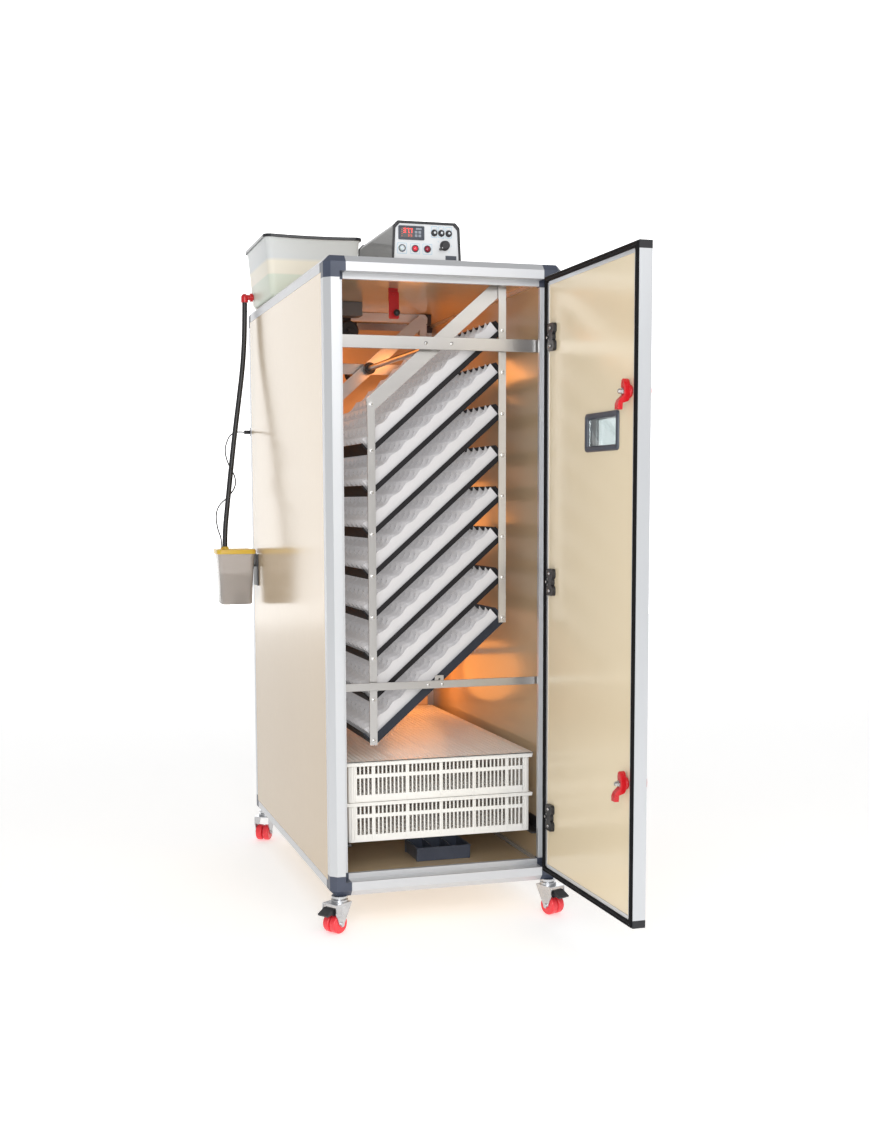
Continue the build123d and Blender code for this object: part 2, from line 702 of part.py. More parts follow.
def control_box():
    shell = box_outline(1.5, BOX_Y0 + 4, BOX_Y1 - BOX_Y0 - 8)
    shell -= box_outline(3.0, BOX_Y0 + 3, BOX_Y1 - BOX_Y0 - 10)
    return pieces(shell)


def control_bezels():
    found = []
    for y in (BOX_Y0, BOX_Y1 - 9):
        ring = box_outline(0, y, 9) - box_outline(6, y - 1, 11)
        ring -= box_outline(1.4, BOX_Y0 + 3.9, BOX_Y1 - BOX_Y0 - 7.8)
        found.append(ring)
    return pieces(*found)


CONTROLLER_X = (-73.0, -6.0)
CONTROLLER_Z = (54.0, 88.0)
LAMP_X = (-63.5, -29.5, 2.5)
LAMP_Z = 33.0
FUSE_X = (20.5, 39.0, 58.5)
FUSE_Z = 73.5
SELECTOR = (47.5, 43.0)


def control_panel():
    face = BOX_Y0 + 4
    panel = box_outline(6.2, face, 2)
    for x in LAMP_X:
        panel -= rod((BOX_X + x, face - 1, H + LAMP_Z), (BOX_X + x, face + 3, H + LAMP_Z), 6)
    for x in FUSE_X:
        panel -= rod((BOX_X + x, face - 1, H + FUSE_Z), (BOX_X + x, face + 3, H + FUSE_Z), 5)
    x, z = SELECTOR
    panel -= rod((BOX_X + x, face - 1, H + z), (BOX_X + x, face + 3, H + z), 4.06)
    x0, x1 = CONTROLLER_X
    z0, z1 = CONTROLLER_Z
    panel -= box(BOX_X + x0 + 3, BOX_X + x1 - 3, face - 1, face + 3, H + z0 + 3, H + z1 - 3)
    return pieces(panel)


def controller():
    face = BOX_Y0 + 4
    x0, x1 = CONTROLLER_X
    z0, z1 = CONTROLLER_Z
    bezel = box(BOX_X + x0, BOX_X + x1, face - 4, face, H + z0, H + z1)
    case = box(BOX_X + x0 + 3.2, BOX_X + x1 - 3.2, face, face + 60, H + z0 + 3.2, H + z1 - 3.2)
    return pieces(bezel + case)


def panel_lamps():
    face = BOX_Y0 + 4
    found = []
    for x in LAMP_X:
        dome = Pos(BOX_X + x, face, H + LAMP_Z) * Sphere(7.5)
        dome = dome & box(BOX_X + x - 8, BOX_X + x + 8, face - 6, face, H + LAMP_Z - 8, H + LAMP_Z + 8)
        found.append(dome + rod((BOX_X + x, face, H + LAMP_Z), (BOX_X + x, face + 25, H + LAMP_Z), 5.9))
    return pieces(*found)


def fuse_caps():
    face = BOX_Y0 + 4
    found = []
    for x in FUSE_X:
        cap = rod((BOX_X + x, face - 8, H + FUSE_Z), (BOX_X + x, face, H + FUSE_Z), 7)
        cap += rod((BOX_X + x, face, H + FUSE_Z), (BOX_X + x, face + 25, H + FUSE_Z), 4.9)
        cap -= box(BOX_X + x - 5, BOX_X + x + 5, face - 9, face - 6.5, H + FUSE_Z - 0.8, H + FUSE_Z + 0.8)
        found.append(cap)
    return pieces(*found)


def selector_knob():
    face = BOX_Y0 + 4
    x, z = SELECTOR
    disc = rod((BOX_X + x, face - 14, H + z), (BOX_X + x, face - 0.4, H + z), 12.5)
    nose = Pos(BOX_X + x, face - 7.2, H + z) * (Rot(0, 40, 0) * (Pos(-9, 0, 0) * Box(18, 13.6, 7)))
    spindle = rod((BOX_X + x, face - 2, H + z), (BOX_X + x, face + 20, H + z), 4)
    return pieces(disc + nose + spindle)


# ---------------------------------------------------------------- water supply


TANK_X = (-12.0, 284.0)
TANK_Y = (748.0, 1105.0)
TANK_TOP = H + 176.0
TANK_TAPER = 14.0
TANK_T = 3.0


def tank_block(inset, z0, z1):
    """The tank's tapered shape between two heights, made smaller all round by inset."""
    faces = []
    for z in (z0, z1):
        taper = TANK_TAPER * (TANK_TOP - z) / (TANK_TOP - H)
        margin = inset + taper + 6
        x0, x1 = TANK_X[0] + margin, TANK_X[1] - margin
        y0, y1 = TANK_Y[0] + margin, TANK_Y[1] - margin
        corners = [(x0, y0, z), (x1, y0, z), (x1, y1, z), (x0, y1, z)]
        faces.append(Face(Wire.make_polygon([Vector(*p) for p in corners])))
    block = loft(faces)
    return fillet(block.edges().filter_by(lambda e: abs(e.tangent_at(0.5).Z) > 0.5), 22 - inset)


def tank():
    shell = tank_block(0, H + 0.3, TANK_TOP)
    shell = fillet(shell.faces().sort_by(Axis.Z)[0].edges(), 12)
    cavity = tank_block(TANK_T, H + 0.3 + TANK_T, TANK_TOP + 0.01)
    shell -= fillet(cavity.faces().sort_by(Axis.Z)[0].edges(), 12 - TANK_T)
    x, z = TANK_X[0] + 2.0, H + 34.0
    shell -= rod((x - 5, OUTLET_Y, z), (x + 40, OUTLET_Y, z), 8.06)
    return pieces(shell)


OUTLET_Y = 1050.0
OUTLET_Z = H + 34.0
OUTLET_X = -22.0  # where the hose hangs from the outlet's elbow


def tank_outlet():
    """Elbow through the tank's wall, with a nut outside and a spigot pointing down."""
    through = rod((OUTLET_X, OUTLET_Y, OUTLET_Z), (34, OUTLET_Y, OUTLET_Z), 8)
    elbow = Pos(OUTLET_X, OUTLET_Y, OUTLET_Z) * Sphere(11)
    spigot = rod((OUTLET_X, OUTLET_Y, OUTLET_Z), (OUTLET_X, OUTLET_Y, OUTLET_Z - 16), 11)
    nut = rod((-6, OUTLET_Y, OUTLET_Z), (2.5, OUTLET_Y, OUTLET_Z), 13)
    return pieces(through + elbow + spigot + nut)


def tank_lid():
    x0, x1 = TANK_X
    y0, y1 = TANK_Y
    z = TANK_TOP + 0.3
    plate = fillet(box(x0, x1, y0, y1, z, z + 3).edges().filter_by(Axis.Z), 24)
    skirt = fillet(box(x0, x1, y0, y1, z - 9, z).edges().filter_by(Axis.Z), 24)
    skirt -= fillet(box(x0 + 4, x1 - 4, y0 + 4, y1 - 4, z - 10, z + 1).edges().filter_by(Axis.Z), 20)
    return pieces(plate + skirt)


CUP_X = (-131.0, -8.0)
CUP_Y = (986.0, 1092.0)
CUP_Z = (682.0, 846.0)
HOSE_IN = (-97.0, 1052.0)
CABLE_IN = (-112.0, 1020.0)


def cup_block(inset, z0, z1):
    """The refill cup's tapered shape between two heights, made smaller by inset."""
    faces = []
    for z in (z0, z1):
        taper = 9.0 * (CUP_Z[1] - z) / (CUP_Z[1] - CUP_Z[0])
        margin = inset + taper + 4
        x0, x1 = CUP_X[0] + margin, CUP_X[1] - margin
        y0, y1 = CUP_Y[0] + margin, CUP_Y[1] - margin
        corners = [(x0, y0, z), (x1, y0, z), (x1, y1, z), (x0, y1, z)]
        faces.append(Face(Wire.make_polygon([Vector(*p) for p in corners])))
    block = loft(faces)
    return fillet(block.edges().filter_by(lambda e: abs(e.tangent_at(0.5).Z) > 0.5), 14 - inset)


def refill_cup():
    shell = cup_block(0, CUP_Z[0], CUP_Z[1])
    shell -= cup_block(2, CUP_Z[0] + 2, CUP_Z[1] + 0.01)
    return pieces(shell)


def refill_cup_lid():
    z0, z1 = CUP_Z[1] - 6, CUP_Z[1] + 0.3
    x0, x1 = CUP_X
    y0, y1 = CUP_Y
    skirt = fillet(box(x0, x1, y0, y1, z0, z1).edges().filter_by(Axis.Z), 17)
    skirt -= fillet(box(x0 + 3.5, x1 - 3.5, y0 + 3.5, y1 - 3.5, z0 - 1, z1 + 1).edges().filter_by(Axis.Z), 14)
    plate = fillet(box(x0, x1, y0, y1, z1, z1 + 9).edges().filter_by(Axis.Z), 17)
    plate = fillet(plate.faces().sort_by(Axis.Z)[-1].edges(), 6)
    lid = plate + skirt
    lid += rod((*HOSE_IN, z1 + 5), (*HOSE_IN, z1 + 16), 12)
    lid += rod((*CABLE_IN, z1 + 5), (*CABLE_IN, z1 + 14), 5)
    return pieces(lid)


def cup_bracket():
    plate = box(-4, 0, 1004, 1074, 740, 838)
    arm = box(-8, -4, 1004, 1074, 800, 836)
    ledge = box(-14.1, -8, 1010, 1068, 800, 806)
    return pieces(plate, arm + ledge)


def refill_pump():
    """Small submersible pump on the cup's floor with its riser and float post."""
    z = CUP_Z[0] + 2.2
    body = rod((-78, 1038, z + 18), (-36, 1038, z + 18), 17)
    foot = box(-78, -36, 1024, 1052, z, z + 10)
    post = rod((-57, 1038, z + 30), (-57, 1038, z + 58), 4)
    return pieces(body + foot + post)


# ---------------------------------------------------------------- hose and cable

HOSE_D = 16.0
HOSE_ROUTE = (
    (-22.0, 1050.0, 1617.6),
    (-23.5, 1050.0, 1530.0),
    (-31.0, 1050.0, 1425.0),
    (-47.0, 1049.0, 1310.0),
    (-63.0, 1051.0, 1195.0),
    (-76.0, 1053.0, 1085.0),
    (-88.0, 1052.0, 985.0),
    (-97.0, 1052.0, 905.0),
    (-97.0, 1052.0, 862.3),
)
CABLE_D = 4.0
CABLE_ROUTE = (
    (-14.7, 1152.0, 1224.0),
    (-36.0, 1146.0, 1226.0),
    (-66.0, 1114.0, 1214.0),
    (-86.0, 1076.0, 1180.0),
    (-94.0, 1036.0, 1150.0),
    (-84.0, 1022.0, 1112.0),
    (-64.0, 1032.0, 1082.0),
    (-58.0, 1064.0, 1050.0),
    (-78.0, 1084.0, 1018.0),
    (-110.0, 1074.0, 994.0),
    (-126.0, 1044.0, 962.0),
    (-124.0, 1022.0, 918.0),
    (-112.0, 1020.0, 888.0),
    (-112.0, 1020.0, 860.3),
)


def turn_and_radius(before, at, after):
    """The bend at one point of a route: its angle in degrees and the arc's radius."""
    a = Vector(*at) - Vector(*before)
    b = Vector(*after) - Vector(*at)
    turn = a.get_angle(b)
    return turn, 0.45 * min(a.length, b.length) / tan(radians(turn) / 2)


def flexible(name, route, diameter):
    """A round cord along straight runs joined by the largest arcs that they allow."""
    bends = [turn_and_radius(*route[i : i + 3]) for i in range(len(route) - 2)]
    path = FilletPolyline(*route, radius=[radius for _, radius in bends])
    start = Plane(origin=route[0], z_dir=Vector(*route[1]) - Vector(*route[0]))
    cord = sweep(start * Circle(diameter / 2), path=path, transition=Transition.ROUND)
    area = 3.14159265 * diameter**2 / 4
    print(name, "length", round(path.length, 1), "volume ratio", round(cord.volume / area / path.length, 4))
    print("  turns", [round(t, 1) for t, _ in bends])
    print("  radii over diameter", [round(r / diameter, 1) for _, r in bends])
    return pieces(cord)


def cable_gland():
    """Where the cable leaves the cabinet, on the back near the left edge."""
    base = box(2, 30, D, D + 6, 1210, 1238)
    body = rod((16, D + 6, 1224), (16, D + 14, 1224), 9)
    turn = rod((16, D + 22, 1224), (-14, D + 22, 1224), 6)
    corner = rod((16, D + 10, 1224), (16, D + 22, 1224), 6)
    return pieces(base + body + corner + turn)


# ---------------------------------------------------------------- assembly


def build_all():
    made = {
        "frame_uprights": frame_uprights(),
        "frame_rails": frame_rails(),
        "corner_castings": corner_castings(),
        "insulated_panels": insulated_panels(),
        "rear_baffle": rear_baffle(),
        "inner_supports": cross_bars() + basket_rails() + vent_bracket(),
        "turning_shaft": turning_shaft(),
        "left_bars": side_bars(-1),
        "right_bars": side_bars(1),
        "door_edges": door_edges(),
        "door_corner_caps": door_corner_caps(),
        "door_panel": door_panel(),
        "door_seal": door_seal(),
        "window_frame": window_frame(),
        "window_glass": window_glass(),
        "door_hinge_leaves": door_hinge_leaves(),
        "frame_hinge_leaves": frame_hinge_leaves(),
        "castor_plates": castor_plates(),
        "basket_lower": basket(0),
        "basket_upper": basket(1),
        "basket_lid": basket_lid(),
        "water_pan": water_pan(),
        "turning_motor": turning_motor(),
        "fan_heater": fan_heater(),
        "fan_blades": fan_blades(),
        "vent_lever": vent_lever(),
        "control_box": control_box() + control_bezels(),
        "control_panel": control_panel(),
        "panel_lamps": panel_lamps(),
        "panel_fittings": controller() + fuse_caps(),
        "selector_knob": selector_knob(),
        "tank": tank(),
        "tank_lid": tank_lid(),
        "tank_outlet": tank_outlet(),
        "refill_cup": refill_cup(),
        "refill_cup_lid": refill_cup_lid(),
        "cup_bracket": cup_bracket() + cable_gland(),
        "refill_pump": refill_pump(),
        "water_hose": flexible("water hose", HOSE_ROUTE, HOSE_D),
        "pump_cable": flexible("pump cable", CABLE_ROUTE, CABLE_D),
    }
    for number in range(1, TRAY_COUNT + 1):
        made[f"tray_{number}"] = tray(number)
    for name, z in LATCH_Z.items():
        made[name] = latch(z)
    for corner in CASTORS:
        made[f"fork_{corner}"] = castor_fork(corner)
        made[f"wheels_{corner}"] = castor_wheels(corner)
    for corner in ("front_left", "front_right"):
        made[f"brake_{corner}"] = brake_pedal(corner)
    return made


CORD_NODES = ("water_hose", "pump_cable")


def main():
    made = build_all()
    boxes = [
        solid.bounding_box()
        for name, group in made.items()
        if name not in CORD_NODES
        for solid in group
    ]
    low = [min(b.min.X for b in boxes), min(b.min.Y for b in boxes), min(b.min.Z for b in boxes)]
    high = [max(b.max.X for b in boxes), max(b.max.Y for b in boxes), max(b.max.Z for b in boxes)]
    shift = Vector(-(low[0] + high[0]) / 2, -(low[1] + high[1]) / 2, -low[2])
    print("size", [round(b - a, 2) for a, b in zip(low, high)])
    print("shift", [round(v, 4) for v in shift])
    os.makedirs("parts", exist_ok=True)
    for name, group in made.items():
        moved = [solid.moved(Location(shift)) for solid in group]
        export_step(Compound(moved), f"parts/{name}.step")
    print(len(made), "nodes")


main()
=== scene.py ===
import math

import bmesh
import bpy
from mathutils import Matrix, Vector


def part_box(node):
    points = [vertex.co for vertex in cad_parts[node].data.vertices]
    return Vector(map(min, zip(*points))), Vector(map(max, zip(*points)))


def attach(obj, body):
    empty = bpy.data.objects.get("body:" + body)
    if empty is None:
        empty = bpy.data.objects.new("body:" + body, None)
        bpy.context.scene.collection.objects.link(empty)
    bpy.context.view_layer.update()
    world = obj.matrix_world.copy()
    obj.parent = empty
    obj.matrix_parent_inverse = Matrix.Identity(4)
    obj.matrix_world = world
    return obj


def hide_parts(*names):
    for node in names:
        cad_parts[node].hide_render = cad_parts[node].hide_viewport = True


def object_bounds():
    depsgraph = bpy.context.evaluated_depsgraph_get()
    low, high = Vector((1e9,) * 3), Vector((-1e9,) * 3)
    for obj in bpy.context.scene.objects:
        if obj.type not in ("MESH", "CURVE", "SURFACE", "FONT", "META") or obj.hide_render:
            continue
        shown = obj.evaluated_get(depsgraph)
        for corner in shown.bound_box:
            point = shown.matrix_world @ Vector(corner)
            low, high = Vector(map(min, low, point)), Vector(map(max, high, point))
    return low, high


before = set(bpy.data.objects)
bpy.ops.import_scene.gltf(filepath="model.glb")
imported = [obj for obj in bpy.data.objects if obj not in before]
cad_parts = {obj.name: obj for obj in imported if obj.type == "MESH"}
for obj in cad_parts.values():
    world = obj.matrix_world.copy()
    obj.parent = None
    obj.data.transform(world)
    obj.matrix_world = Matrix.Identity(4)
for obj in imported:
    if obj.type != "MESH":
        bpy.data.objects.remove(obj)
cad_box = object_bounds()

# A cabinet egg incubator. Pieces are made in millimetres in the cabinet's own axes: the
# origin is the cabinet body's front left bottom corner, X right, Y back, Z up.
ORIGIN, FAR_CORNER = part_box("corner_castings")
SIZE = (FAR_CORNER - ORIGIN) * 1000
W, H = SIZE.x, SIZE.z
CABINET = Matrix.Translation(ORIGIN) @ Matrix.Scale(0.001, 4)

BAND = 38.0
WALL = 30.0
PIN = Vector((607.0, -17.0, 0.0))
DOOR_ANGLE = math.radians(90.6)
DOOR_T = 31.5
TILT = math.radians(41.4)
RACK_X = 307.0
PIVOT_Z = 1400.0
TRAY_Z = [1284.0 - 106.0 * i for i in range(8)]
HALF = 233.5
FRONT = 78.0
BACK = 794.0

OPENED = (
    CABINET
    @ Matrix.Translation(PIN)
    @ Matrix.Rotation(DOOR_ANGLE, 4, "Z")
    @ Matrix.Translation(-PIN)
)


def tilted(z):
    """From a tray's own axes, level, to the tilted rest position at height z."""
    return CABINET @ Matrix.Translation((RACK_X, 0, z)) @ Matrix.Rotation(-TILT, 4, "Y")


def at(x, y, z):
    return ORIGIN + Vector((x, y, z)) / 1000


# ------------------------------------------------------------------ camera

CAMERA_AT = (-774.7, -3511.0, 1002.7)
YAW, PITCH, ROLL = 0.29094, -0.10367, -0.0040
LENS = 46.05517
LENS_SHIFT = 0.076

camera = bpy.data.objects.new("camera", bpy.data.cameras.new("camera"))
bpy.context.scene.collection.objects.link(camera)
forward = Vector((math.sin(YAW) * math.cos(PITCH), math.cos(YAW) * math.cos(PITCH), math.sin(PITCH)))
right = Vector((math.cos(YAW), -math.sin(YAW), 0))
up = right.cross(forward)
right, up = (
    right * math.cos(ROLL) + up * math.sin(ROLL),
    up * math.cos(ROLL) - right * math.sin(ROLL),
)
turn = Matrix((right, up, -forward)).transposed().to_4x4()
camera.matrix_world = Matrix.Translation(at(*CAMERA_AT)) @ turn
camera.data.lens = LENS
camera.data.shift_y = LENS_SHIFT
camera.data.clip_start = 0.05
bpy.context.scene.camera = camera


# ------------------------------------------------------------------ materials


def new_material(name):
    m = bpy.data.materials.new(name)
    m.use_nodes = True
    return m, m.node_tree.nodes, m.node_tree.links, m.node_tree.nodes["Principled BSDF"]


def finish(
    name,
    colour,
    rough,
    metal=0.0,
    mottle=0.06,
    mottle_size=6.0,
    rough_span=0.06,
    bump=0.0,
    bump_size=300.0,
    stretch=(1, 1, 1),
    painted_edge_highlight=None,
    **sockets,
):
    """A surface whose colour, roughness and relief vary with noise of the given scales, with
    edges painted lighter or darker, as a painted highlight, where an edge colour is given."""
    m, nodes, links, shader = new_material(name)
    coords = nodes.new("ShaderNodeTexCoord")
    mapping = nodes.new("ShaderNodeMapping")
    mapping.inputs["Scale"].default_value = stretch
    links.new(coords.outputs["Object"], mapping.inputs["Vector"])

    cloud = nodes.new("ShaderNodeTexNoise")
    cloud.inputs["Scale"].default_value = mottle_size
    cloud.inputs["Detail"].default_value = 5
    links.new(mapping.outputs["Vector"], cloud.inputs["Vector"])
    ramp = nodes.new("ShaderNodeValToRGB")
    dark = [c * (1 - mottle) for c in colour[:3]] + [1]
    light = [min(1, c * (1 + mottle)) for c in colour[:3]] + [1]
    ramp.color_ramp.elements[0].position = 0.3
    ramp.color_ramp.elements[0].color = dark
    ramp.color_ramp.elements[1].position = 0.7
    ramp.color_ramp.elements[1].color = light
    links.new(cloud.outputs["Fac"], ramp.inputs["Fac"])
    colour_out = ramp.outputs["Color"]

    # painted highlight: edges are drawn in the edge colour through the bevel mask, as if they caught the
    # light
    if painted_edge_highlight is not None:
        bevel = nodes.new("ShaderNodeBevel")
        bevel.samples = 4
        bevel.inputs["Radius"].default_value = 0.0012
        geometry = nodes.new("ShaderNodeNewGeometry")
        dot = nodes.new("ShaderNodeVectorMath")
        dot.operation = "DOT_PRODUCT"
        links.new(bevel.outputs["Normal"], dot.inputs[0])
        links.new(geometry.outputs["Normal"], dot.inputs[1])
        edge = nodes.new("ShaderNodeMapRange")
        edge.inputs["From Min"].default_value = 0.99
        edge.inputs["From Max"].default_value = 0.8
        links.new(dot.outputs["Value"], edge.inputs["Value"])
        mix = nodes.new("ShaderNodeMix")
        mix.data_type = "RGBA"
        mix.inputs["B"].default_value = (*painted_edge_highlight, 1)
        links.new(edge.outputs["Result"], mix.inputs["Factor"])
        links.new(colour_out, mix.inputs["A"])
        colour_out = mix.outputs["Result"]
    links.new(colour_out, shader.inputs["Base Color"])

    grain = nodes.new("ShaderNodeTexNoise")
    grain.inputs["Scale"].default_value = bump_size
    grain.inputs["Detail"].default_value = 3
    links.new(mapping.outputs["Vector"], grain.inputs["Vector"])
    spread = nodes.new("ShaderNodeMapRange")
    spread.inputs["To Min"].default_value = max(0.02, rough - rough_span)
    spread.inputs["To Max"].default_value = min(1, rough + rough_span)
    links.new(grain.outputs["Fac"], spread.inputs["Value"])
    links.new(spread.outputs["Result"], shader.inputs["Roughness"])
    if bump:
        relief = nodes.new("ShaderNodeBump")
        relief.inputs["Strength"].default_value = bump
        relief.inputs["Distance"].default_value = 0.0004
        links.new(grain.outputs["Fac"], relief.inputs["Height"])
        links.new(relief.outputs["Normal"], shader.inputs["Normal"])
    shader.inputs["Metallic"].default_value = metal
    for socket, value in sockets.items():
        shader.inputs[socket.replace("_", " ")].default_value = value
    return m


def lit(name, colour, strength):
    m, _, _, shader = new_material(name)
    shader.inputs["Base Color"].default_value = (*colour, 1)
    shader.inputs["Emission Color"].default_value = (*colour, 1)
    shader.inputs["Emission Strength"].default_value = strength
    return m


ALU = finish("alu", (0.66, 0.675, 0.695), 0.36, 0.6, 0.03, 4, 0.05, 0.08, 160, (1, 1, 0.02))
ALU_X = finish("alu_x", (0.65, 0.66, 0.68), 0.36, 0.6, 0.03, 4, 0.05, 0.08, 160, (0.02, 0.3, 1))
# the edge colours given below are painted highlights on the edges
CORNER_BLUE = finish("corner_blue", (0.055, 0.066, 0.100), 0.36, 0, 0.15, 12, 0.08, 0.25, 500,
                     painted_edge_highlight=(0.12, 0.14, 0.18))
# darker than the door's sheet only to offset the light on the side in the main view
PANEL = finish("panel", (0.63, 0.48, 0.305), 0.16, 0, 0.012, 2.5, 0.03, 0.02, 40)
DOOR_PANEL = finish("door_panel", (0.86, 0.73, 0.51), 0.20, 0, 0.012, 2.5, 0.03, 0.02, 40)
STEEL = finish("steel", (0.50, 0.485, 0.47), 0.32, 1.0, 0.08, 14, 0.08, 0.04, 400, (0.05, 1, 1))
STEEL_Z = finish("steel_z", (0.54, 0.525, 0.51), 0.32, 1.0, 0.08, 14, 0.08, 0.04, 400, (1, 1, 0.05))
BOLT = finish("bolt", (0.55, 0.54, 0.53), 0.25, 1.0, 0.15, 60, 0.1, 0.1, 500)
BRASS = finish("brass", (0.72, 0.50, 0.18), 0.30, 1.0, 0.15, 60, 0.1, 0.1, 500)
BLACK = finish("black", (0.018, 0.018, 0.021), 0.38, 0, 0.2, 15, 0.08, 0.2, 500,
               painted_edge_highlight=(0.05, 0.05, 0.055))
CHANNEL = finish("channel", (0.012, 0.011, 0.013), 0.5, 0, 0.2, 15, 0.08, 0.1, 500,
                 painted_edge_highlight=(0.04, 0.04, 0.045), Specular_IOR_Level=0.2)
CHANNEL_BLUE = finish("channel_blue", (0.020, 0.024, 0.036), 0.5, 0, 0.2, 15, 0.08, 0.1, 500,
                      painted_edge_highlight=(0.06, 0.07, 0.09), Specular_IOR_Level=0.3)
SEAL = finish("seal", (0.004, 0.004, 0.005), 0.62, 0, 0.2, 30, 0.08, 0.2, 700,
              Specular_IOR_Level=0.15)
# the emission only brightens the trays in the main view; real ones give no light
TRAY = finish("tray_white", (0.52, 0.51, 0.52), 0.34, 0, 0.02, 20, 0.06, 0.1, 300,
              Emission_Color=(1.0, 0.985, 0.99, 1), Emission_Strength=0.14)
BASKET = finish("basket_white", (0.86, 0.85, 0.82), 0.34, 0, 0.02, 10, 0.06, 0.1, 300,
 )
SLATE = finish("slate", (0.055, 0.064, 0.085), 0.38, 0, 0.10, 15, 0.08, 0.3, 600,
               painted_edge_highlight=(0.10, 0.11, 0.14))
PAN = finish("pan_slate", (0.075, 0.092, 0.135), 0.36, 0, 0.10, 15, 0.08, 0.3, 600,
             painted_edge_highlight=(0.12, 0.14, 0.18))
RED = finish("red_plastic", (0.62, 0.008, 0.014), 0.28, 0, 0.08, 15, 0.06, 0.1, 500,
             Coat_Weight=0.3)
LEVER_RED = finish("lever_red", (0.50, 0.006, 0.010), 0.35, 0, 0.08, 15, 0.06, 0.1, 500)
CASTOR_RED = finish("castor_red", (0.92, 0.045, 0.060), 0.30, 0, 0.06, 25, 0.08, 0.1, 400,
                    Coat_Weight=0.25)
ZINC = finish("zinc", (0.62, 0.63, 0.65), 0.30, 1.0, 0.12, 30, 0.12, 0.15, 300)
BOX_GREY = finish("box_grey", (0.17, 0.17, 0.17), 0.42, 0.25, 0.05, 8, 0.08, 0.5, 700,
                  Coat_Weight=0.15)
FACE_WHITE = finish("face_white", (0.72, 0.74, 0.76), 0.4, 0, 0.015, 12, 0.05, 0.1, 600)
LABEL_BLUE = finish("label_blue", (0.42, 0.60, 0.72), 0.45, 0, 0.03, 30, 0.05, 0.05, 600)
LAMP_WHITE = finish("lamp_white", (0.75, 0.78, 0.80), 0.15, 0, 0.03, 90, 0.05,
                    Subsurface_Weight=0.2, Coat_Weight=0.8)
LAMP_RED = finish("lamp_red", (0.75, 0.02, 0.05), 0.12, 0, 0.10, 90, 0.05, Coat_Weight=0.8)
LAMP_DARK = finish("lamp_dark", (0.30, 0.004, 0.03), 0.12, 0, 0.10, 90, 0.05, Coat_Weight=0.8)
DIGIT = lit("digit", (1.0, 0.05, 0.04), 2.2)
DIGIT_DIM = lit("digit_dim", (0.7, 0.10, 0.06), 0.6)
SCREEN = finish("screen", (0.012, 0.006, 0.008), 0.12, 0, 0.1, 50, 0.04, Coat_Weight=0.6)
KEY = finish("key", (0.28, 0.31, 0.36), 0.4, 0, 0.05, 60, 0.05)
LID_BLACK = finish("lid_black", (0.020, 0.020, 0.024), 0.22, 0, 0.15, 8, 0.06, 0.15, 120)
YELLOW = finish("lid_yellow", (0.78, 0.52, 0.06), 0.30, 0, 0.05, 12, 0.06, 0.1, 300,
                Subsurface_Weight=0.15, Subsurface_Scale=0.004)
HOSE = finish("hose", (0.016, 0.016, 0.018), 0.34, 0, 0.2, 30, 0.08, 0.1, 300)
MILKY = finish("milky", (0.70, 0.72, 0.70), 0.36, 0, 0.02, 5, 0.05, Transmission_Weight=0.12, IOR=1.3)
CLEAR = finish("clear", (0.74, 0.70, 0.67), 0.12, 0, 0.01, 5, 0.03,
               Transmission_Weight=0.62, IOR=1.2)
WATER = finish("water", (0.93, 0.93, 0.84), 0.10, 0, 0.02, 5, 0.03,
               Transmission_Weight=0.55, IOR=1.25)
GLASS = finish("glass", (0.80, 0.86, 0.86), 0.04, 0, 0.02, 5, 0.02, Transmission_Weight=0.9,
               IOR=1.45)


def shade_by_height(m, low, high, stops):
    """Replaces a material's colour with bands by height, as where a vessel is part full."""
    nodes, links = m.node_tree.nodes, m.node_tree.links
    coords = nodes.new("ShaderNodeTexCoord")
    parts = nodes.new("ShaderNodeSeparateXYZ")
    links.new(coords.outputs["Object"], parts.inputs["Vector"])
    share = nodes.new("ShaderNodeMapRange")
    share.inputs["From Min"].default_value = low
    share.inputs["From Max"].default_value = high
    links.new(parts.outputs["Z"], share.inputs["Value"])
    ramp = nodes.new("ShaderNodeValToRGB")
    while len(ramp.color_ramp.elements) < len(stops):
        ramp.color_ramp.elements.new(0.5)
    for element, (place, colour) in zip(ramp.color_ramp.elements, stops):
        element.position = place
        element.color = (*colour, 1)
    links.new(share.outputs["Result"], ramp.inputs["Fac"])
    links.new(ramp.outputs["Color"], nodes["Principled BSDF"].inputs["Base Color"])


WATER_TINT = (0.80, 0.85, 0.73)
CREAM = (0.98, 0.93, 0.80)
EMPTY_TINT = (0.80, 0.825, 0.82)
shade_by_height(
    MILKY,
    at(0, 0, H).z,
    at(0, 0, H + 176).z,
    [(0.0, WATER_TINT), (0.36, WATER_TINT), (0.39, CREAM), (0.58, CREAM),
     (0.64, EMPTY_TINT), (1.0, EMPTY_TINT)],
)


# ------------------------------------------------------------------ mesh helpers


def add_box(bm, x0, x1, y0, y1, z0, z1, mat=0):
    centre = Vector(((x0 + x1) / 2, (y0 + y1) / 2, (z0 + z1) / 2))
    scale = Matrix.Diagonal((x1 - x0, y1 - y0, z1 - z0, 1))
    made = bmesh.ops.create_cube(bm, size=1, matrix=Matrix.Translation(centre) @ scale)
    for f in {f for v in made["verts"] for f in v.link_faces}:
        f.material_index = mat
    return made["verts"]


def add_prism(bm, points, along, mat=0):
    """A flat outline pushed along a vector."""
    along = Vector(along)
    low = [bm.verts.new(p) for p in points]
    high = [bm.verts.new(Vector(p) + along) for p in points]
    n = len(points)
    faces = [bm.faces.new(low), bm.faces.new(high[::-1])]
    for i in range(n):
        j = (i + 1) % n
        faces.append(bm.faces.new((low[j], low[i], high[i], high[j])))
    for f in faces:
        f.material_index = mat
    return faces


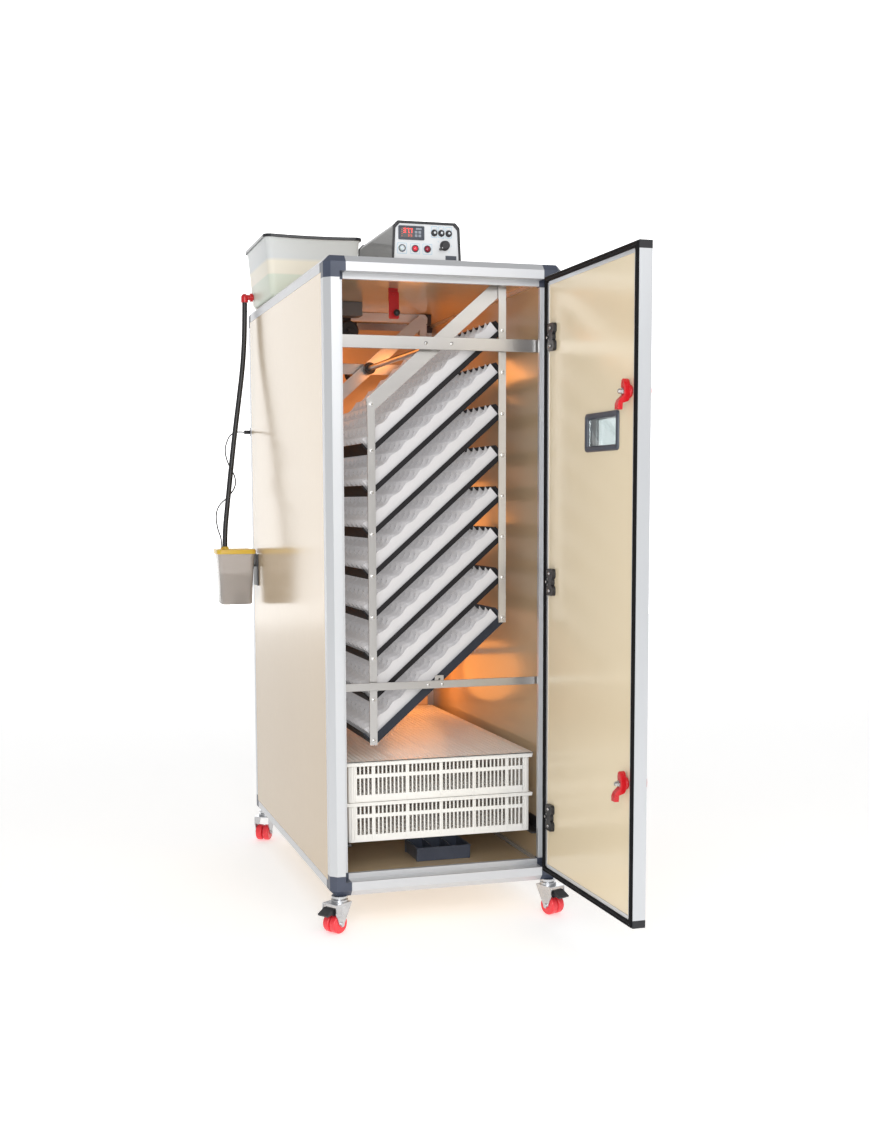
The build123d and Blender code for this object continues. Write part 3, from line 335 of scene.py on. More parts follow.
def lathe(bm, start, end, profile, segments=32, mat=0):
    """A turned shape: profile lists (share of the way from start to end, radius)."""
    start, end = Vector(start), Vector(end)
    axis = (end - start).normalized()
    side = axis.orthogonal().normalized()
    other = axis.cross(side)
    rings = []
    for t, radius in profile:
        centre = start.lerp(end, t)
        if radius < 1e-6:
            rings.append([bm.verts.new(centre)])
            continue
        ring = []
        for i in range(segments):
            a = 2 * math.pi * i / segments
            ring.append(bm.verts.new(centre + (side * math.cos(a) + other * math.sin(a)) * radius))
        rings.append(ring)
    faces = []
    for a, b in zip(rings, rings[1:]):
        for i in range(segments):
            j = (i + 1) % segments
            if len(a) == 1 and len(b) == 1:
                continue
            if len(a) == 1:
                faces.append(bm.faces.new((a[0], b[j], b[i])))
            elif len(b) == 1:
                faces.append(bm.faces.new((a[i], a[j], b[0])))
            else:
                faces.append(bm.faces.new((a[i], a[j], b[j], b[i])))
    if len(rings[0]) > 1:
        faces.append(bm.faces.new(rings[0][::-1]))
    if len(rings[-1]) > 1:
        faces.append(bm.faces.new(rings[-1]))
    for f in faces:
        f.material_index = mat
        f.smooth = True
    return faces


def add_rod(bm, start, end, radius, segments=24, mat=0, edge=0.6):
    """A round bar with slightly broken edges."""
    length = (Vector(end) - Vector(start)).length
    e = min(edge, length * 0.3, radius * 0.5)
    t = e / length
    profile = [(0, radius - e), (t, radius), (1 - t, radius), (1, radius - e)]
    return lathe(bm, start, end, profile, segments, mat)


def rounded_outline(x0, x1, z0, z1, radius, steps=6):
    """Points round a rectangle with rounded corners, with each point's outward direction."""
    found = []
    for cx, cz, first in (
        (x1 - radius, z1 - radius, 0),
        (x0 + radius, z1 - radius, 90),
        (x0 + radius, z0 + radius, 180),
        (x1 - radius, z0 + radius, 270),
    ):
        for i in range(steps + 1):
            a = math.radians(first + 90 * i / steps)
            found.append((cx, cz, math.cos(a), math.sin(a), radius))
    return found


def level_ring(bm, x_range, y_range, z, inset, radius, steps=6):
    """Vertices round a level rectangle with rounded corners, drawn in from the ranges by inset."""
    outline = rounded_outline(
        x_range[0] + inset, x_range[1] - inset, y_range[0] + inset, y_range[1] - inset, radius, steps
    )
    return [bm.verts.new((cx + dx * r, cy + dy * r, z)) for cx, cy, dx, dy, r in outline]


def join_rings(bm, rings):
    """A skin from each ring of vertices to the next."""
    for a, b in zip(rings, rings[1:]):
        for i in range(len(a)):
            j = (i + 1) % len(a)
            bm.faces.new((a[i], a[j], b[j], b[i]))


def close_under(bm, first, under):
    """Turns a lid's edge in, from its first ring to a ring inside it, and closes that."""
    for i in range(len(under)):
        j = (i + 1) % len(under)
        bm.faces.new((first[j], first[i], under[i], under[j]))
    bm.faces.new(under[::-1])


def filled(bm, x_range, y_range, levels, radius):
    """A closed body of water. levels lists (z, inset), from the bottom up."""
    rings = [level_ring(bm, x_range, y_range, z, inset, radius) for z, inset in levels]
    join_rings(bm, rings)
    bm.faces.new(rings[0][::-1])
    bm.faces.new(rings[-1])


def rim(bm, x0, x1, y0, y1, width, lap, z0, z1):
    """Four flat bars round a rectangle; the side bars reach into the others by lap."""
    side = width - lap
    for a0, a1, b0, b1 in (
        (x0, x1, y0, y0 + width),
        (x0, x1, y1 - width, y1),
        (x0, x0 + width, y0 + side, y1 - side),
        (x1 - width, x1, y0 + side, y1 - side),
    ):
        add_box(bm, a0, a1, b0, b1, z0, z1)


def loop_frame(bm, x0, x1, z0, z1, radius, section, mat=0, steps=6):
    """A closed frame in the XZ plane. section lists (inset from the outline, y) in a ring."""
    outline = rounded_outline(x0, x1, z0, z1, radius, steps)
    rings = []
    for cx, cz, dx, dz, r in outline:
        ring = []
        for inset, y in section:
            reach = r - inset
            if reach < 0.5:
                # past the corner's centre the frame keeps a sharp mitred corner
                sx = 1 if cx > (x0 + x1) / 2 else -1
                sz = 1 if cz > (z0 + z1) / 2 else -1
                extra = inset - r
                ring.append(bm.verts.new((cx - sx * extra + dx * 0.02, y, cz - sz * extra + dz * 0.02)))
            else:
                ring.append(bm.verts.new((cx + dx * reach, y, cz + dz * reach)))
        rings.append(ring)
    n, k = len(rings), len(section)
    for i in range(n):
        a, b = rings[i], rings[(i + 1) % n]
        for j in range(k):
            f = bm.faces.new((a[j], a[(j + 1) % k], b[(j + 1) % k], b[j]))
            f.material_index = mat
            f.smooth = True


def make(name, bm, body, materials, place=CABINET, replaces=(), bevel=0.0, segments=2,
         subsurf=0, flat=False):
    """Turns a bmesh in millimetres into a piece that rides on a body."""
    bmesh.ops.recalc_face_normals(bm, faces=bm.faces)
    mesh = bpy.data.meshes.new(name)
    bm.to_mesh(mesh)
    bm.free()
    return put(name, mesh, body, materials, place, replaces, bevel, segments, subsurf, flat)


def put(name, mesh, body, materials, place=CABINET, replaces=(), bevel=0.0,
        segments=2, subsurf=0, flat=False):
    mesh.transform(place)
    if not isinstance(materials, (list, tuple)):
        materials = [materials]
    for m in materials:
        mesh.materials.append(m)
    piece = bpy.data.objects.new(name, mesh)
    bpy.context.scene.collection.objects.link(piece)
    if bevel:
        mod = piece.modifiers.new("edges", "BEVEL")
        mod.width = bevel / 1000
        mod.segments = segments
        mod.limit_method = "ANGLE"
        mod.angle_limit = math.radians(35)
        mod.harden_normals = not flat
    if subsurf:
        mod = piece.modifiers.new("smooth", "SUBSURF")
        mod.levels = subsurf
        mod.render_levels = subsurf
    if not flat:
        mesh.polygons.foreach_set("use_smooth", [True] * len(mesh.polygons))
        if not subsurf:
            mesh.set_sharp_from_angle(angle=math.radians(38))
    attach(piece, body)
    if replaces:
        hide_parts(*replaces)
    return piece


def dress(node, material):
    """Gives a CAD node that stays its finish."""
    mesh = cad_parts[node].data
    mesh.materials.clear()
    mesh.materials.append(material)


# ------------------------------------------------------------------ cords


def cord(name, points, diameter, material, node):
    curve = bpy.data.curves.new(name, "CURVE")
    curve.dimensions = "3D"
    spline = curve.splines.new("NURBS")
    spline.points.add(len(points) - 1)
    for p, xyz in zip(spline.points, points):
        p.co = (*at(*xyz), 1)
    spline.order_u = 3
    spline.use_endpoint_u = True
    spline.resolution_u = 24
    curve.bevel_depth = diameter / 2000
    curve.bevel_resolution = 6
    curve.use_fill_caps = True
    curve.materials.append(material)
    piece = bpy.data.objects.new(name, curve)
    bpy.context.scene.collection.objects.link(piece)
    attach(piece, "cabinet")
    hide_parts(node)
    return piece


HOSE_ROUTE = (
    (-22.0, 1050.0, 1617.6),
    (-23.5, 1050.0, 1530.0),
    (-31.0, 1050.0, 1425.0),
    (-47.0, 1049.0, 1310.0),
    (-63.0, 1051.0, 1195.0),
    (-76.0, 1053.0, 1085.0),
    (-88.0, 1052.0, 985.0),
    (-97.0, 1052.0, 905.0),
    (-97.0, 1052.0, 862.3),
)
CABLE_ROUTE = (
    (-14.7, 1152.0, 1224.0),
    (-36.0, 1146.0, 1226.0),
    (-66.0, 1114.0, 1214.0),
    (-86.0, 1076.0, 1180.0),
    (-94.0, 1036.0, 1150.0),
    (-84.0, 1022.0, 1112.0),
    (-64.0, 1032.0, 1082.0),
    (-58.0, 1064.0, 1050.0),
    (-78.0, 1084.0, 1018.0),
    (-110.0, 1074.0, 994.0),
    (-126.0, 1044.0, 962.0),
    (-124.0, 1022.0, 918.0),
    (-112.0, 1020.0, 888.0),
    (-112.0, 1020.0, 860.3),
)
cord("water_hose_skin", HOSE_ROUTE, 16.0, HOSE, "water_hose")
cord("pump_cable_skin", CABLE_ROUTE, 4.0, HOSE, "pump_cable")


# ------------------------------------------------------------------ cabinet

dress("frame_uprights", ALU)
dress("frame_rails", ALU_X)
dress("corner_castings", CORNER_BLUE)
dress("insulated_panels", PANEL)
dress("rear_baffle", PANEL)
dress("turning_shaft", STEEL)
dress("left_bars", STEEL_Z)
dress("right_bars", STEEL_Z)
dress("door_edges", ALU)
dress("door_corner_caps", BLACK)
dress("door_panel", DOOR_PANEL)
dress("window_glass", GLASS)
dress("door_hinge_leaves", BLACK)
dress("frame_hinge_leaves", BLACK)
dress("castor_plates", ZINC)
dress("turning_motor", BLACK)
dress("fan_heater", BLACK)
dress("fan_blades", BLACK)
dress("cup_bracket", BLACK)
dress("refill_pump", BLACK)
dress("tank_outlet", RED)
for corner in ("front_left", "front_right", "rear_left", "rear_right"):
    dress(f"fork_{corner}", ZINC)
    dress(f"wheels_{corner}", CASTOR_RED)
for corner in ("front_left", "front_right"):
    dress(f"brake_{corner}", BLACK)


def supports():
    """Cross bars, their tabs and bearings; then the basket rails and the lever's bracket."""
    bm = bmesh.new()
    for face, way in ((58.0, 1), (BACK + 20, -1)):
        inner = face + way * 5
        y0, y1 = sorted((face, inner))
        for z, height in ((PIVOT_Z, 32.0), (529.0, 20.0)):
            add_box(bm, WALL + 0.2, W - WALL - 0.2, y0, y1, z - height / 2, z + height / 2)
            for x0 in (WALL + 0.2, W - WALL - 3.2):
                t0, t1 = sorted((inner, inner + way * 9))
                add_box(bm, x0, x0 + 3, t0, t1, z - height / 2, z + height / 2)
        y0, y1 = sorted((inner, inner + way * 3))
        low_z = TRAY_Z[-1]
        add_box(bm, RACK_X - 12, RACK_X + 12, y0, y1, 519, low_z + 10)
    make("cross_bars", bm, "cabinet", STEEL, replaces=["inner_supports"],
         bevel=0.8)
    bm = bmesh.new()
    for face, way in ((58.0, 1), (BACK + 20, -1)):
        inner = face + way * 5
        add_rod(bm, (RACK_X, inner, PIVOT_Z), (RACK_X, inner + way * 12, PIVOT_Z), 16, 32)
        add_rod(bm, (RACK_X, inner, TRAY_Z[-1]), (RACK_X, inner + way * 23, TRAY_Z[-1]), 3)
        # bolt heads through the bars' outer faces
        for x, z in ((RACK_X - 34, PIVOT_Z), (RACK_X + 34, PIVOT_Z), (RACK_X - 32, 529), (RACK_X + 6, 529)):
            lathe(bm, (x, face, z), (x, face - way * 2.6, z),
                  [(0, 4.6), (0.5, 4.4), (0.85, 3.2), (1, 2.0), (0.8, 1.9), (0.8, 0)], 20)
    make("bearings_and_bolts", bm, "cabinet", BOLT, replaces=["inner_supports"])
    bm = bmesh.new()
    for x0, x1, wall in ((WALL + 0.2, WALL + 36, WALL + 0.2), (W - WALL - 36, W - WALL - 0.2, W - WALL - 4)):
        add_box(bm, x0, x1, 49.3, 600, 118, 122)
        add_box(bm, wall, wall + 3.8, 49.3, 600, 121.5, 152)
    make("basket_rails", bm, "cabinet", BLACK, replaces=["inner_supports"],
         bevel=1.0)
    bm = bmesh.new()
    add_box(bm, 243, 269, 308, 312, H - WALL - 34, H - WALL)
    add_rod(bm, (256, 298, H - WALL - 18), (256, 308.5, H - WALL - 18), 4)
    make("lever_bracket", bm, "cabinet", LEVER_RED,
         replaces=["inner_supports"], bevel=0.8)


supports()


def collars():
    """Black hubs round the shaft."""
    bm = bmesh.new()
    for y0, y1 in ((FRONT + 4.1, FRONT + 20), (BACK - 26, BACK - 4.1)):
        add_rod(bm, (RACK_X, y0, PIVOT_Z), (RACK_X, y1, PIVOT_Z), 17.5, 36, edge=1.5)
    make("shaft_collars", bm, "rack_beam", BLACK)


def bar_bolts(side, body):
    """Bolt heads down the two flat bars of one side."""
    bm = bmesh.new()
    heights = [PIVOT_Z] + TRAY_Z
    x = RACK_X + side * HALF * math.cos(TILT)
    for face, way in ((FRONT - 8.0, -1), (BACK + 8.0, 1)):
        for level in heights:
            z = level + side * HALF * math.sin(TILT)
            profile = [(0, 6.2), (0.35, 6.2), (0.4, 4.6), (0.85, 4.2), (1, 2.6), (0.7, 2.4), (0.7, 0)]
            lathe(bm, (x, face, z), (x, face + way * 3.2, z), profile, 20)
    make(f"bar_bolts_{body}", bm, body, BOLT)


def ceiling_gear():
    """Under the ceiling at the back: a rail, the tilting gear motor and its switch box."""
    ceiling = H - WALL - 0.2
    bm = bmesh.new()
    add_box(bm, WALL + 1, 482, 814, 830, ceiling - 26, ceiling)
    make("ceiling_rail", bm, "cabinet", ALU_X, bevel=1.2)
    bm = bmesh.new()
    add_box(bm, 481, 512, 810, 834, ceiling - 32, ceiling)
    make("ceiling_rail_end", bm, "cabinet", BLACK, bevel=2.5)
    bm = bmesh.new()
    add_box(bm, 470, 500, 820, 824, ceiling - 62, ceiling - 25)
    make("ceiling_rail_tab", bm, "cabinet", STEEL_Z, bevel=0.6)
    bm = bmesh.new()
    add_box(bm, 176, 250, 700, 784, 1462, 1526)
    add_rod(bm, (213, 640, 1494), (213, 701, 1494), 29, 36, edge=3)
    add_rod(bm, (213, 622, 1494), (213, 641, 1494), 7, 20)
    add_box(bm, 186, 240, 730, 784, 1525, ceiling)
    make("gear_motor", bm, "cabinet", BLACK, bevel=2.5, segments=3)
    bm = bmesh.new()
    add_box(bm, 178, 241, 590, 640, ceiling - 40, ceiling)
    make("switch_box", bm, "cabinet", BOX_GREY, bevel=1.6)
    bm = bmesh.new()
    for i in range(4):
        add_box(bm, 150, 166, 596 + i * 11, 603 + i * 11, ceiling - 30, ceiling - 12)
    make("terminals", bm, "cabinet", BRASS, bevel=0.8)
    bm = bmesh.new()
    add_box(bm, 146, 178, 592, 640, ceiling - 34, ceiling - 8)
    make("terminal_block", bm, "cabinet", BLACK, bevel=1.0)


collars()
bar_bolts(-1, "left_bars")
bar_bolts(1, "right_bars")
ceiling_gear()


# ------------------------------------------------------------------ egg trays

CELL = 458.0 / 9


def wavy_wall(bm, start, end, low, high, thick, sway, dip, period, phase, steps_per=8, mat=0):
    """An upright moulded wall that sways in plan and whose top edge is scalloped."""
    start, end = Vector(start), Vector(end)
    run = end - start
    along = run.normalized()
    across = Vector((-along.y, along.x, 0))
    count = max(2, round(run.length / period * steps_per))
    rows = []
    for i in range(count + 1):
        s = run.length * i / count
        angle = 2 * math.pi * (s / period + phase)
        centre = start + along * s + across * (sway * math.sin(angle))
        top = high - dip * (0.5 - 0.5 * math.cos(angle)) ** 0.7
        half = across * (thick / 2)
        rows.append(
            [
                bm.verts.new(centre - half * 1.6 + Vector((0, 0, low))),
                bm.verts.new(centre - half + Vector((0, 0, top - 1))),
                bm.verts.new(centre + Vector((0, 0, top))),
                bm.verts.new(centre + half + Vector((0, 0, top - 1))),
                bm.verts.new(centre + half * 1.6 + Vector((0, 0, low))),
            ]
        )
    for a, b in zip(rows, rows[1:]):
        for j in range(4):
            f = bm.faces.new((a[j], a[j + 1], b[j + 1], b[j]))
            f.material_index = mat
            f.smooth = True
        bm.faces.new((a[4], a[0], b[0], b[4])).material_index = mat
    bm.faces.new(rows[0]).material_index = mat
    bm.faces.new(rows[-1][::-1]).material_index = mat


def egg_tray_mesh(bottom):
    """Two moulded egg trays, front and rear, in a tray's own level axes."""
    bm = bmesh.new()
    middle = (FRONT + BACK) / 2
    for y0, y1 in ((FRONT + 10, middle - 1), (middle + 1, BACK - 10)):
        cell_y = (y1 - y0) / 7
        add_box(bm, -228, 228, y0 + 1, y1 - 1, bottom, bottom + 1.6)
        for y, phase in ((y0 + 1.2, 0.0), (y1 - 1.2, 0.0)):
            wavy_wall(bm, (-229, y, 0), (229, y, 0), bottom, 35.5, 2.0, 0.0, 5.0, CELL, phase)
        for x in (-227.8, 227.8):
            wavy_wall(bm, (x, y0, 0), (x, y1, 0), bottom, 24, 2.0, 0.0, 6.0, cell_y, 0.0)
        for i in range(1, 9):
            x = -229 + CELL * i
            wavy_wall(bm, (x, y0 + 2, 0), (x, y1 - 2, 0), bottom + 1, 33, 1.6, 4.0, 5.0, cell_y, 0.0)
        for j in range(14):
            y = y0 + cell_y * (j + 0.5) / 2
            if j % 2 == 0:
                wavy_wall(bm, (-227, y, 0), (227, y, 0), bottom + 1, 30, 1.6, 9.0, 8.0, CELL, 0.25)
            else:
                wavy_wall(bm, (-228.6, y, 0), (228.6, y, 0), bottom + 1, 38.7, 1.8, 9.0, 10.0, CELL, 0.0)
    bmesh.ops.recalc_face_normals(bm, faces=bm.faces)
    mesh = bpy.data.meshes.new("egg_tray")
    bm.to_mesh(mesh)
    bm.free()
    return mesh


def l_channel(bm, x0, x1, wall, way, low, high, ledge=22.0, t=2.5):
    y0, y1 = sorted((wall, wall + way * t))
    add_box(bm, x0, x1, y0, y1, low, high)
    y0, y1 = sorted((wall + way * t * 0.9, wall + way * ledge))
    add_box(bm, x0, x1, y0, y1, low, low + t)


def tray_frame(number):
    last = number == 8
    low, high = (-14.0, 8.0) if last else (-6.5, 6.5)
    bm = bmesh.new()
    end = HALF + 7
    l_channel(bm, -end, end, FRONT, 1, low, high)
    l_channel(bm, -end, end, BACK, -1, low, high)
    for side in (-1, 1):
        x0, x1 = sorted((side * end, side * (end - 2.5)))
        add_box(bm, x0, x1, FRONT + 2.6, BACK - 2.6, low, 29)
        x0, x1 = sorted((side * (end - 2.3), side * (end - 22)))
        add_box(bm, x0, x1, FRONT + 22, BACK - 22, low, low + 2.5)
        # gussets where the end wall meets the channels
        for y, way in ((FRONT + 2.6, 1), (BACK - 2.6, -1)):
            x = side * (end - 2.5)
            add_prism(bm, [(x, y, high), (x, y + way * 26, high), (x, y, 29)], (-side * 2, 0, 0))
    place = tilted(TRAY_Z[number - 1])
    make(f"tray_frame_{number}", bm, f"tray_{number}", CHANNEL_BLUE if last else CHANNEL, place,
         [f"tray_{number}"], bevel=0.7)
    bm = bmesh.new()
    for side in (-1, 1):
        for y0, y1 in ((FRONT - 3.4, FRONT + 3.2), (BACK - 3.2, BACK + 3.4)):
            add_rod(bm, (side * HALF, y0, 0), (side * HALF, y1, 0), 5.2, 16)
    make(f"tray_pins_{number}", bm, f"tray_{number}", BOLT, place, [f"tray_{number}"])


egg_plain = egg_tray_mesh(-3.8)
egg_last = egg_tray_mesh(-11.3)
for number in range(1, 9):
    tray_frame(number)
    mesh = (egg_last if number == 8 else egg_plain).copy()
    put(f"egg_trays_{number}", mesh, f"tray_{number}", TRAY, tilted(TRAY_Z[number - 1]),
        [f"tray_{number}"])


# ------------------------------------------------------------------ baskets, lid and pan

BX0, BX1, BY0, BY1 = 56.0, 568.0, 67.0, 562.0
BZ0, BH = 122.5, 104.0


def slotted_wall(bm, along, fixed, way, a0, a1, z0, z1):
    """A basket wall with two rows of upright slots, in groups of eight between wider bars.
    along is 'x' or 'y', fixed the outer face's place on the other axis, way points inwards."""
    t = 2.4

    def bar(p0, p1, q0, q1, depth=t, out=0.0):
        f0, f1 = sorted((fixed - way * out, fixed + way * depth))
        if along == "x":
            add_box(bm, p0, p1, f0, f1, q0, q1)
        else:
            add_box(bm, f0, f1, p0, p1, q0, q1)

    bar(a0, a1, z0, z0 + 19)
    bar(a0, a1, z1 - 41, z1 - 31, t + 0.6, 0.6)
    bar(a0, a1, z1 - 9, z1)
    groups = [4, 8, 8, 8, 8, 4]
    wide = 5.5
    total = sum(groups)
    pitch = (a1 - a0 - wide * (len(groups) - 1)) / total
    p = a0
    for g, count in enumerate(groups):
        for _ in range(count):
            bar(p, p + pitch * 0.40, z0 + 18, z1 - 8, t * 0.8)
            p += pitch
        bar(p, p + wide if g < 5 else a1, z0 + 6, z1 - 2, t, 0.8)
        p += wide


def basket(name, body, level, place=CABINET, replaces=()):
    z0 = BZ0 + level * (BH + 0.5)
    z1 = z0 + BH
    bm = bmesh.new()
    inset = 7.0
    x0, x1, y0, y1 = BX0 + inset, BX1 - inset, BY0 + inset, BY1 - inset
    post = 20.0
    slotted_wall(bm, "x", y0, 1, x0 + post, x1 - post, z0, z1)
    slotted_wall(bm, "x", y1, -1, x0 + post, x1 - post, z0, z1)
    slotted_wall(bm, "y", x0, 1, y0 + post, y1 - post, z0, z1)
    slotted_wall(bm, "y", x1, -1, y0 + post, y1 - post, z0, z1)
    # corner posts with a rounded outside, and a raised rib on each side
    for cx, cy, sx, sy in ((x0, y0, 1, 1), (x1, y0, -1, 1), (x0, y1, 1, -1), (x1, y1, -1, -1)):
        outline = [(0, 6), (1.8, 1.8), (6, 0), (post, 0), (post, 3), (7, 3), (3, 7), (3, post), (0, post)]
        add_prism(bm, [(cx + sx * a, cy + sy * b, z0) for a, b in outline], (0, 0, BH - 2))
        for a, b in ((post - 5, -2.0), (8, -2.0)):
            xa, xb = sorted((cx + sx * a, cx + sx * (a + 3)))
            ya, yb = sorted((cy + sy * b, cy + sy * 2))
            add_box(bm, xa, xb, ya, yb, z0 + 8, z1 - 4)
    rim(bm, BX0, BX1, BY0, BY1, 11, 1, z1 - 4, z1)
    add_box(bm, BX0 + 1, BX1 - 1, BY0 + 1, BY0 + 4, z1 - 9, z1 - 3)
    # floor of crossed ribs
    for i in range(31):
        x = x0 + 3 + (x1 - x0 - 9) * i / 30
        add_box(bm, x, x + 3.0, y0 + 2, y1 - 2, z0 + 0.2, z0 + 2.8)
    for i in range(29):
        y = y0 + 3 + (y1 - y0 - 9) * i / 28
        add_box(bm, x0 + 2, x1 - 2, y, y + 3.0, z0, z0 + 2.4)
    make(name, bm, body, BASKET, place, replaces, bevel=0.5, segments=1)


def perforated_lid(name, body, place=CABINET, replaces=()):
    """A sheet with rows of short slots, and a turned-down edge."""
    z = BZ0 + 2 * (BH + 0.5)
    bm = bmesh.new()
    margin = 16.0
    nx, ny = 36, 40
    pitch_x = (BX1 - BX0 - 2 * margin) / nx
    pitch_y = (BY1 - BY0 - 2 * margin) / ny
    xs = [BX0]
    for i in range(nx):
        xs += [BX0 + margin + pitch_x * (i + 0.18), BX0 + margin + pitch_x * (i + 0.82)]
    xs.append(BX1)
    ys = [BY0]
    for j in range(ny):
        ys += [BY0 + margin + pitch_y * (j + 0.32), BY0 + margin + pitch_y * (j + 0.68)]
    ys.append(BY1)
    thick = 2.4
    grid = {}

    def vert(i, j, top):
        key = (i, j, top)
        if key not in grid:
            grid[key] = bm.verts.new((xs[i], ys[j], z + (3.6 if top else 3.6 - thick)))
        return grid[key]

    def solid_cell(i, j):
        inside = 0 <= i < len(xs) - 1 and 0 <= j < len(ys) - 1
        hole = i % 2 == 1 and j % 2 == 1
        return inside and not hole

    for i in range(len(xs) - 1):
        for j in range(len(ys) - 1):
            if not solid_cell(i, j):
                continue
            for top in (True, False):
                bm.faces.new([vert(a, b, top) for a, b in ((i, j), (i + 1, j), (i + 1, j + 1), (i, j + 1))])
            for di, dj, a, b in ((-1, 0, (i, j), (i, j + 1)), (1, 0, (i + 1, j), (i + 1, j + 1)),
                                 (0, -1, (i, j), (i + 1, j)), (0, 1, (i, j + 1), (i + 1, j + 1))):
                if not solid_cell(i + di, j + dj):
                    bm.faces.new([vert(*a, True), vert(*b, True), vert(*b, False), vert(*a, False)])
    rim(bm, BX0, BX1, BY0, BY1, 2.4, 0.4, z + 0.1, z + 3.9)
    for i in range(1, 4):
        x = BX0 + (BX1 - BX0) * i / 4
        add_box(bm, x - 2, x + 2, BY0 + 2, BY1 - 2, z + 3.0, z + 4.0)
    make(name, bm, body, BASKET, place, replaces, flat=True)


basket("basket_lower_skin", "basket_lower", 0, replaces=["basket_lower"])
basket("basket_upper_skin", "basket_upper", 1, replaces=["basket_upper"])
perforated_lid("basket_lid_skin", "basket_lid", replaces=["basket_lid"])

# a second stack stands behind the first, shorter by the depth of the air guide
BEHIND = (
    CABINET
    @ Matrix.Translation((0, BY1 + 4, 0))
    @ Matrix.Diagonal((1, 0.9, 1, 1))
    @ Matrix.Translation((0, -BY0, 0))
)
basket("rear_basket_lower", "cabinet", 0, BEHIND)
basket("rear_basket_upper", "cabinet", 1, BEHIND)
perforated_lid("rear_basket_lid", "cabinet", BEHIND)


def water_pan():
    x0, x1, y0, y1, z0, z1 = 276.0, 431.0, 180.0, 305.0, WALL + 0.2, WALL + 38.0
    bm = bmesh.new()
    t = 2.6
    add_box(bm, x0 + 4, x1 - 4, y0 + 4, y1 - 4, z0, z0 + 3)

    # tapered outer walls
    for sx, a in ((1, x0), (-1, x1)):
        add_prism(bm, [(a + sx * 4, y0 + 1, z0), (a + sx * (4 + t), y0 + 1, z0),
                       (a + sx * (1 + t), y0 + 1, z1 - 2), (a + sx * 1, y0 + 1, z1 - 2)],
                  (0, y1 - y0 - 2, 0))
    for sy, b in ((1, y0), (-1, y1)):
        add_prism(bm, [(x0 + 1.2, b + sy * 4, z0), (x0 + 1.2, b + sy * (4 + t), z0),
                       (x0 + 1.2, b + sy * (1 + t), z1 - 2), (x0 + 1.2, b + sy * 1, z1 - 2)],
                  (x1 - x0 - 2.4, 0, 0))
    cell = (x1 - x0 - 12) / 3
    for i in (1, 2):
        x = x0 + 3 + i * (cell + 3) - 3
        add_box(bm, x, x + 3, y0 + 3, y1 - 3, z0 + 2, z1 - 3)
    rim(bm, x0, x1, y0, y1, 5, 1, z1 - 4, z1)
    make("water_pan_skin", bm, "water_pan", PAN, replaces=["water_pan"], bevel=1.2)


water_pan()


# ------------------------------------------------------------------ vent lever


def vent_lever():
    x, y, pivot = 256.0, 300.0, H - WALL - 18
    bm = bmesh.new()
    add_prism(bm, [(x - 14, y, pivot + 5), (x - 11, y, pivot + 8), (x + 11, y, pivot + 8),
                   (x + 14, y, pivot + 5), (x + 14, y, H - WALL - 79), (x + 11, y, H - WALL - 82),
                   (x - 11, y, H - WALL - 82), (x - 14, y, H - WALL - 79)], (0, 5, 0))
    make("vent_lever_bar", bm, "vent_lever", LEVER_RED,
         replaces=["vent_lever"], bevel=0.9)
    bm = bmesh.new()
    kz = H - WALL - 67
    profile = [(0, 0)]
    for i in range(1, 12):
        a = math.pi * i / 12
        profile.append(((1 - math.cos(a)) / 2, 9 * math.sin(a)))
    profile.append((1, 0))
    lathe(bm, (x + 4, y - 22, kz), (x + 4, y - 4, kz), profile, 32)
    add_rod(bm, (x + 4, y - 6, kz), (x + 4, y, kz), 4.2, 20)
    make("vent_lever_knob", bm, "vent_lever", BLACK,
         replaces=["vent_lever"])


vent_lever()


# ------------------------------------------------------------------ door


DX0, DX1, DZ0, DZ1 = BAND + 0.8, W - BAND - 0.8, BAND + 0.8, H - BAND - 0.8


def door_seal():
    bm = bmesh.new()
    y0 = DOOR_T
    section = [(0, y0), (0.6, y0 + 3.4), (2.5, y0 + 4.8), (5, y0 + 4.4), (6.5, y0 + 3.2),
               (8, y0 + 4.4), (10.5, y0 + 4.8), (13, y0 + 3.4), (14, y0)]
    loop_frame(bm, DX0 + 1, DX1 - 1, DZ0 + 1, DZ1 - 1, 3.0, section)
    make("door_seal_skin", bm, "door", SEAL, OPENED, ["door_seal"])


def window():
    x0, x1, z0, z1 = 137.0, 326.0, 1115.0, 1205.0
    bm = bmesh.new()
    for face, way in ((1.5, -1), (DOOR_T - 1.5, 1)):
        section = [(0, face), (0.8, face + way * 3.4), (2.2, face + way * 4.6), (9, face + way * 5.3),
                   (11.5, face + way * 4.4), (14, face + way * 0.6), (14, face)]
        loop_frame(bm, x0, x1, z0, z1, 10, section, steps=8)
    section = [(8.3, 1.5), (8.3, DOOR_T - 1.5), (14, DOOR_T - 1.5), (14, 1.5)]
    loop_frame(bm, x0, x1, z0, z1, 10, section, steps=8)
    make("window_frame_skin", bm, "door", SLATE, OPENED, ["window_frame"])


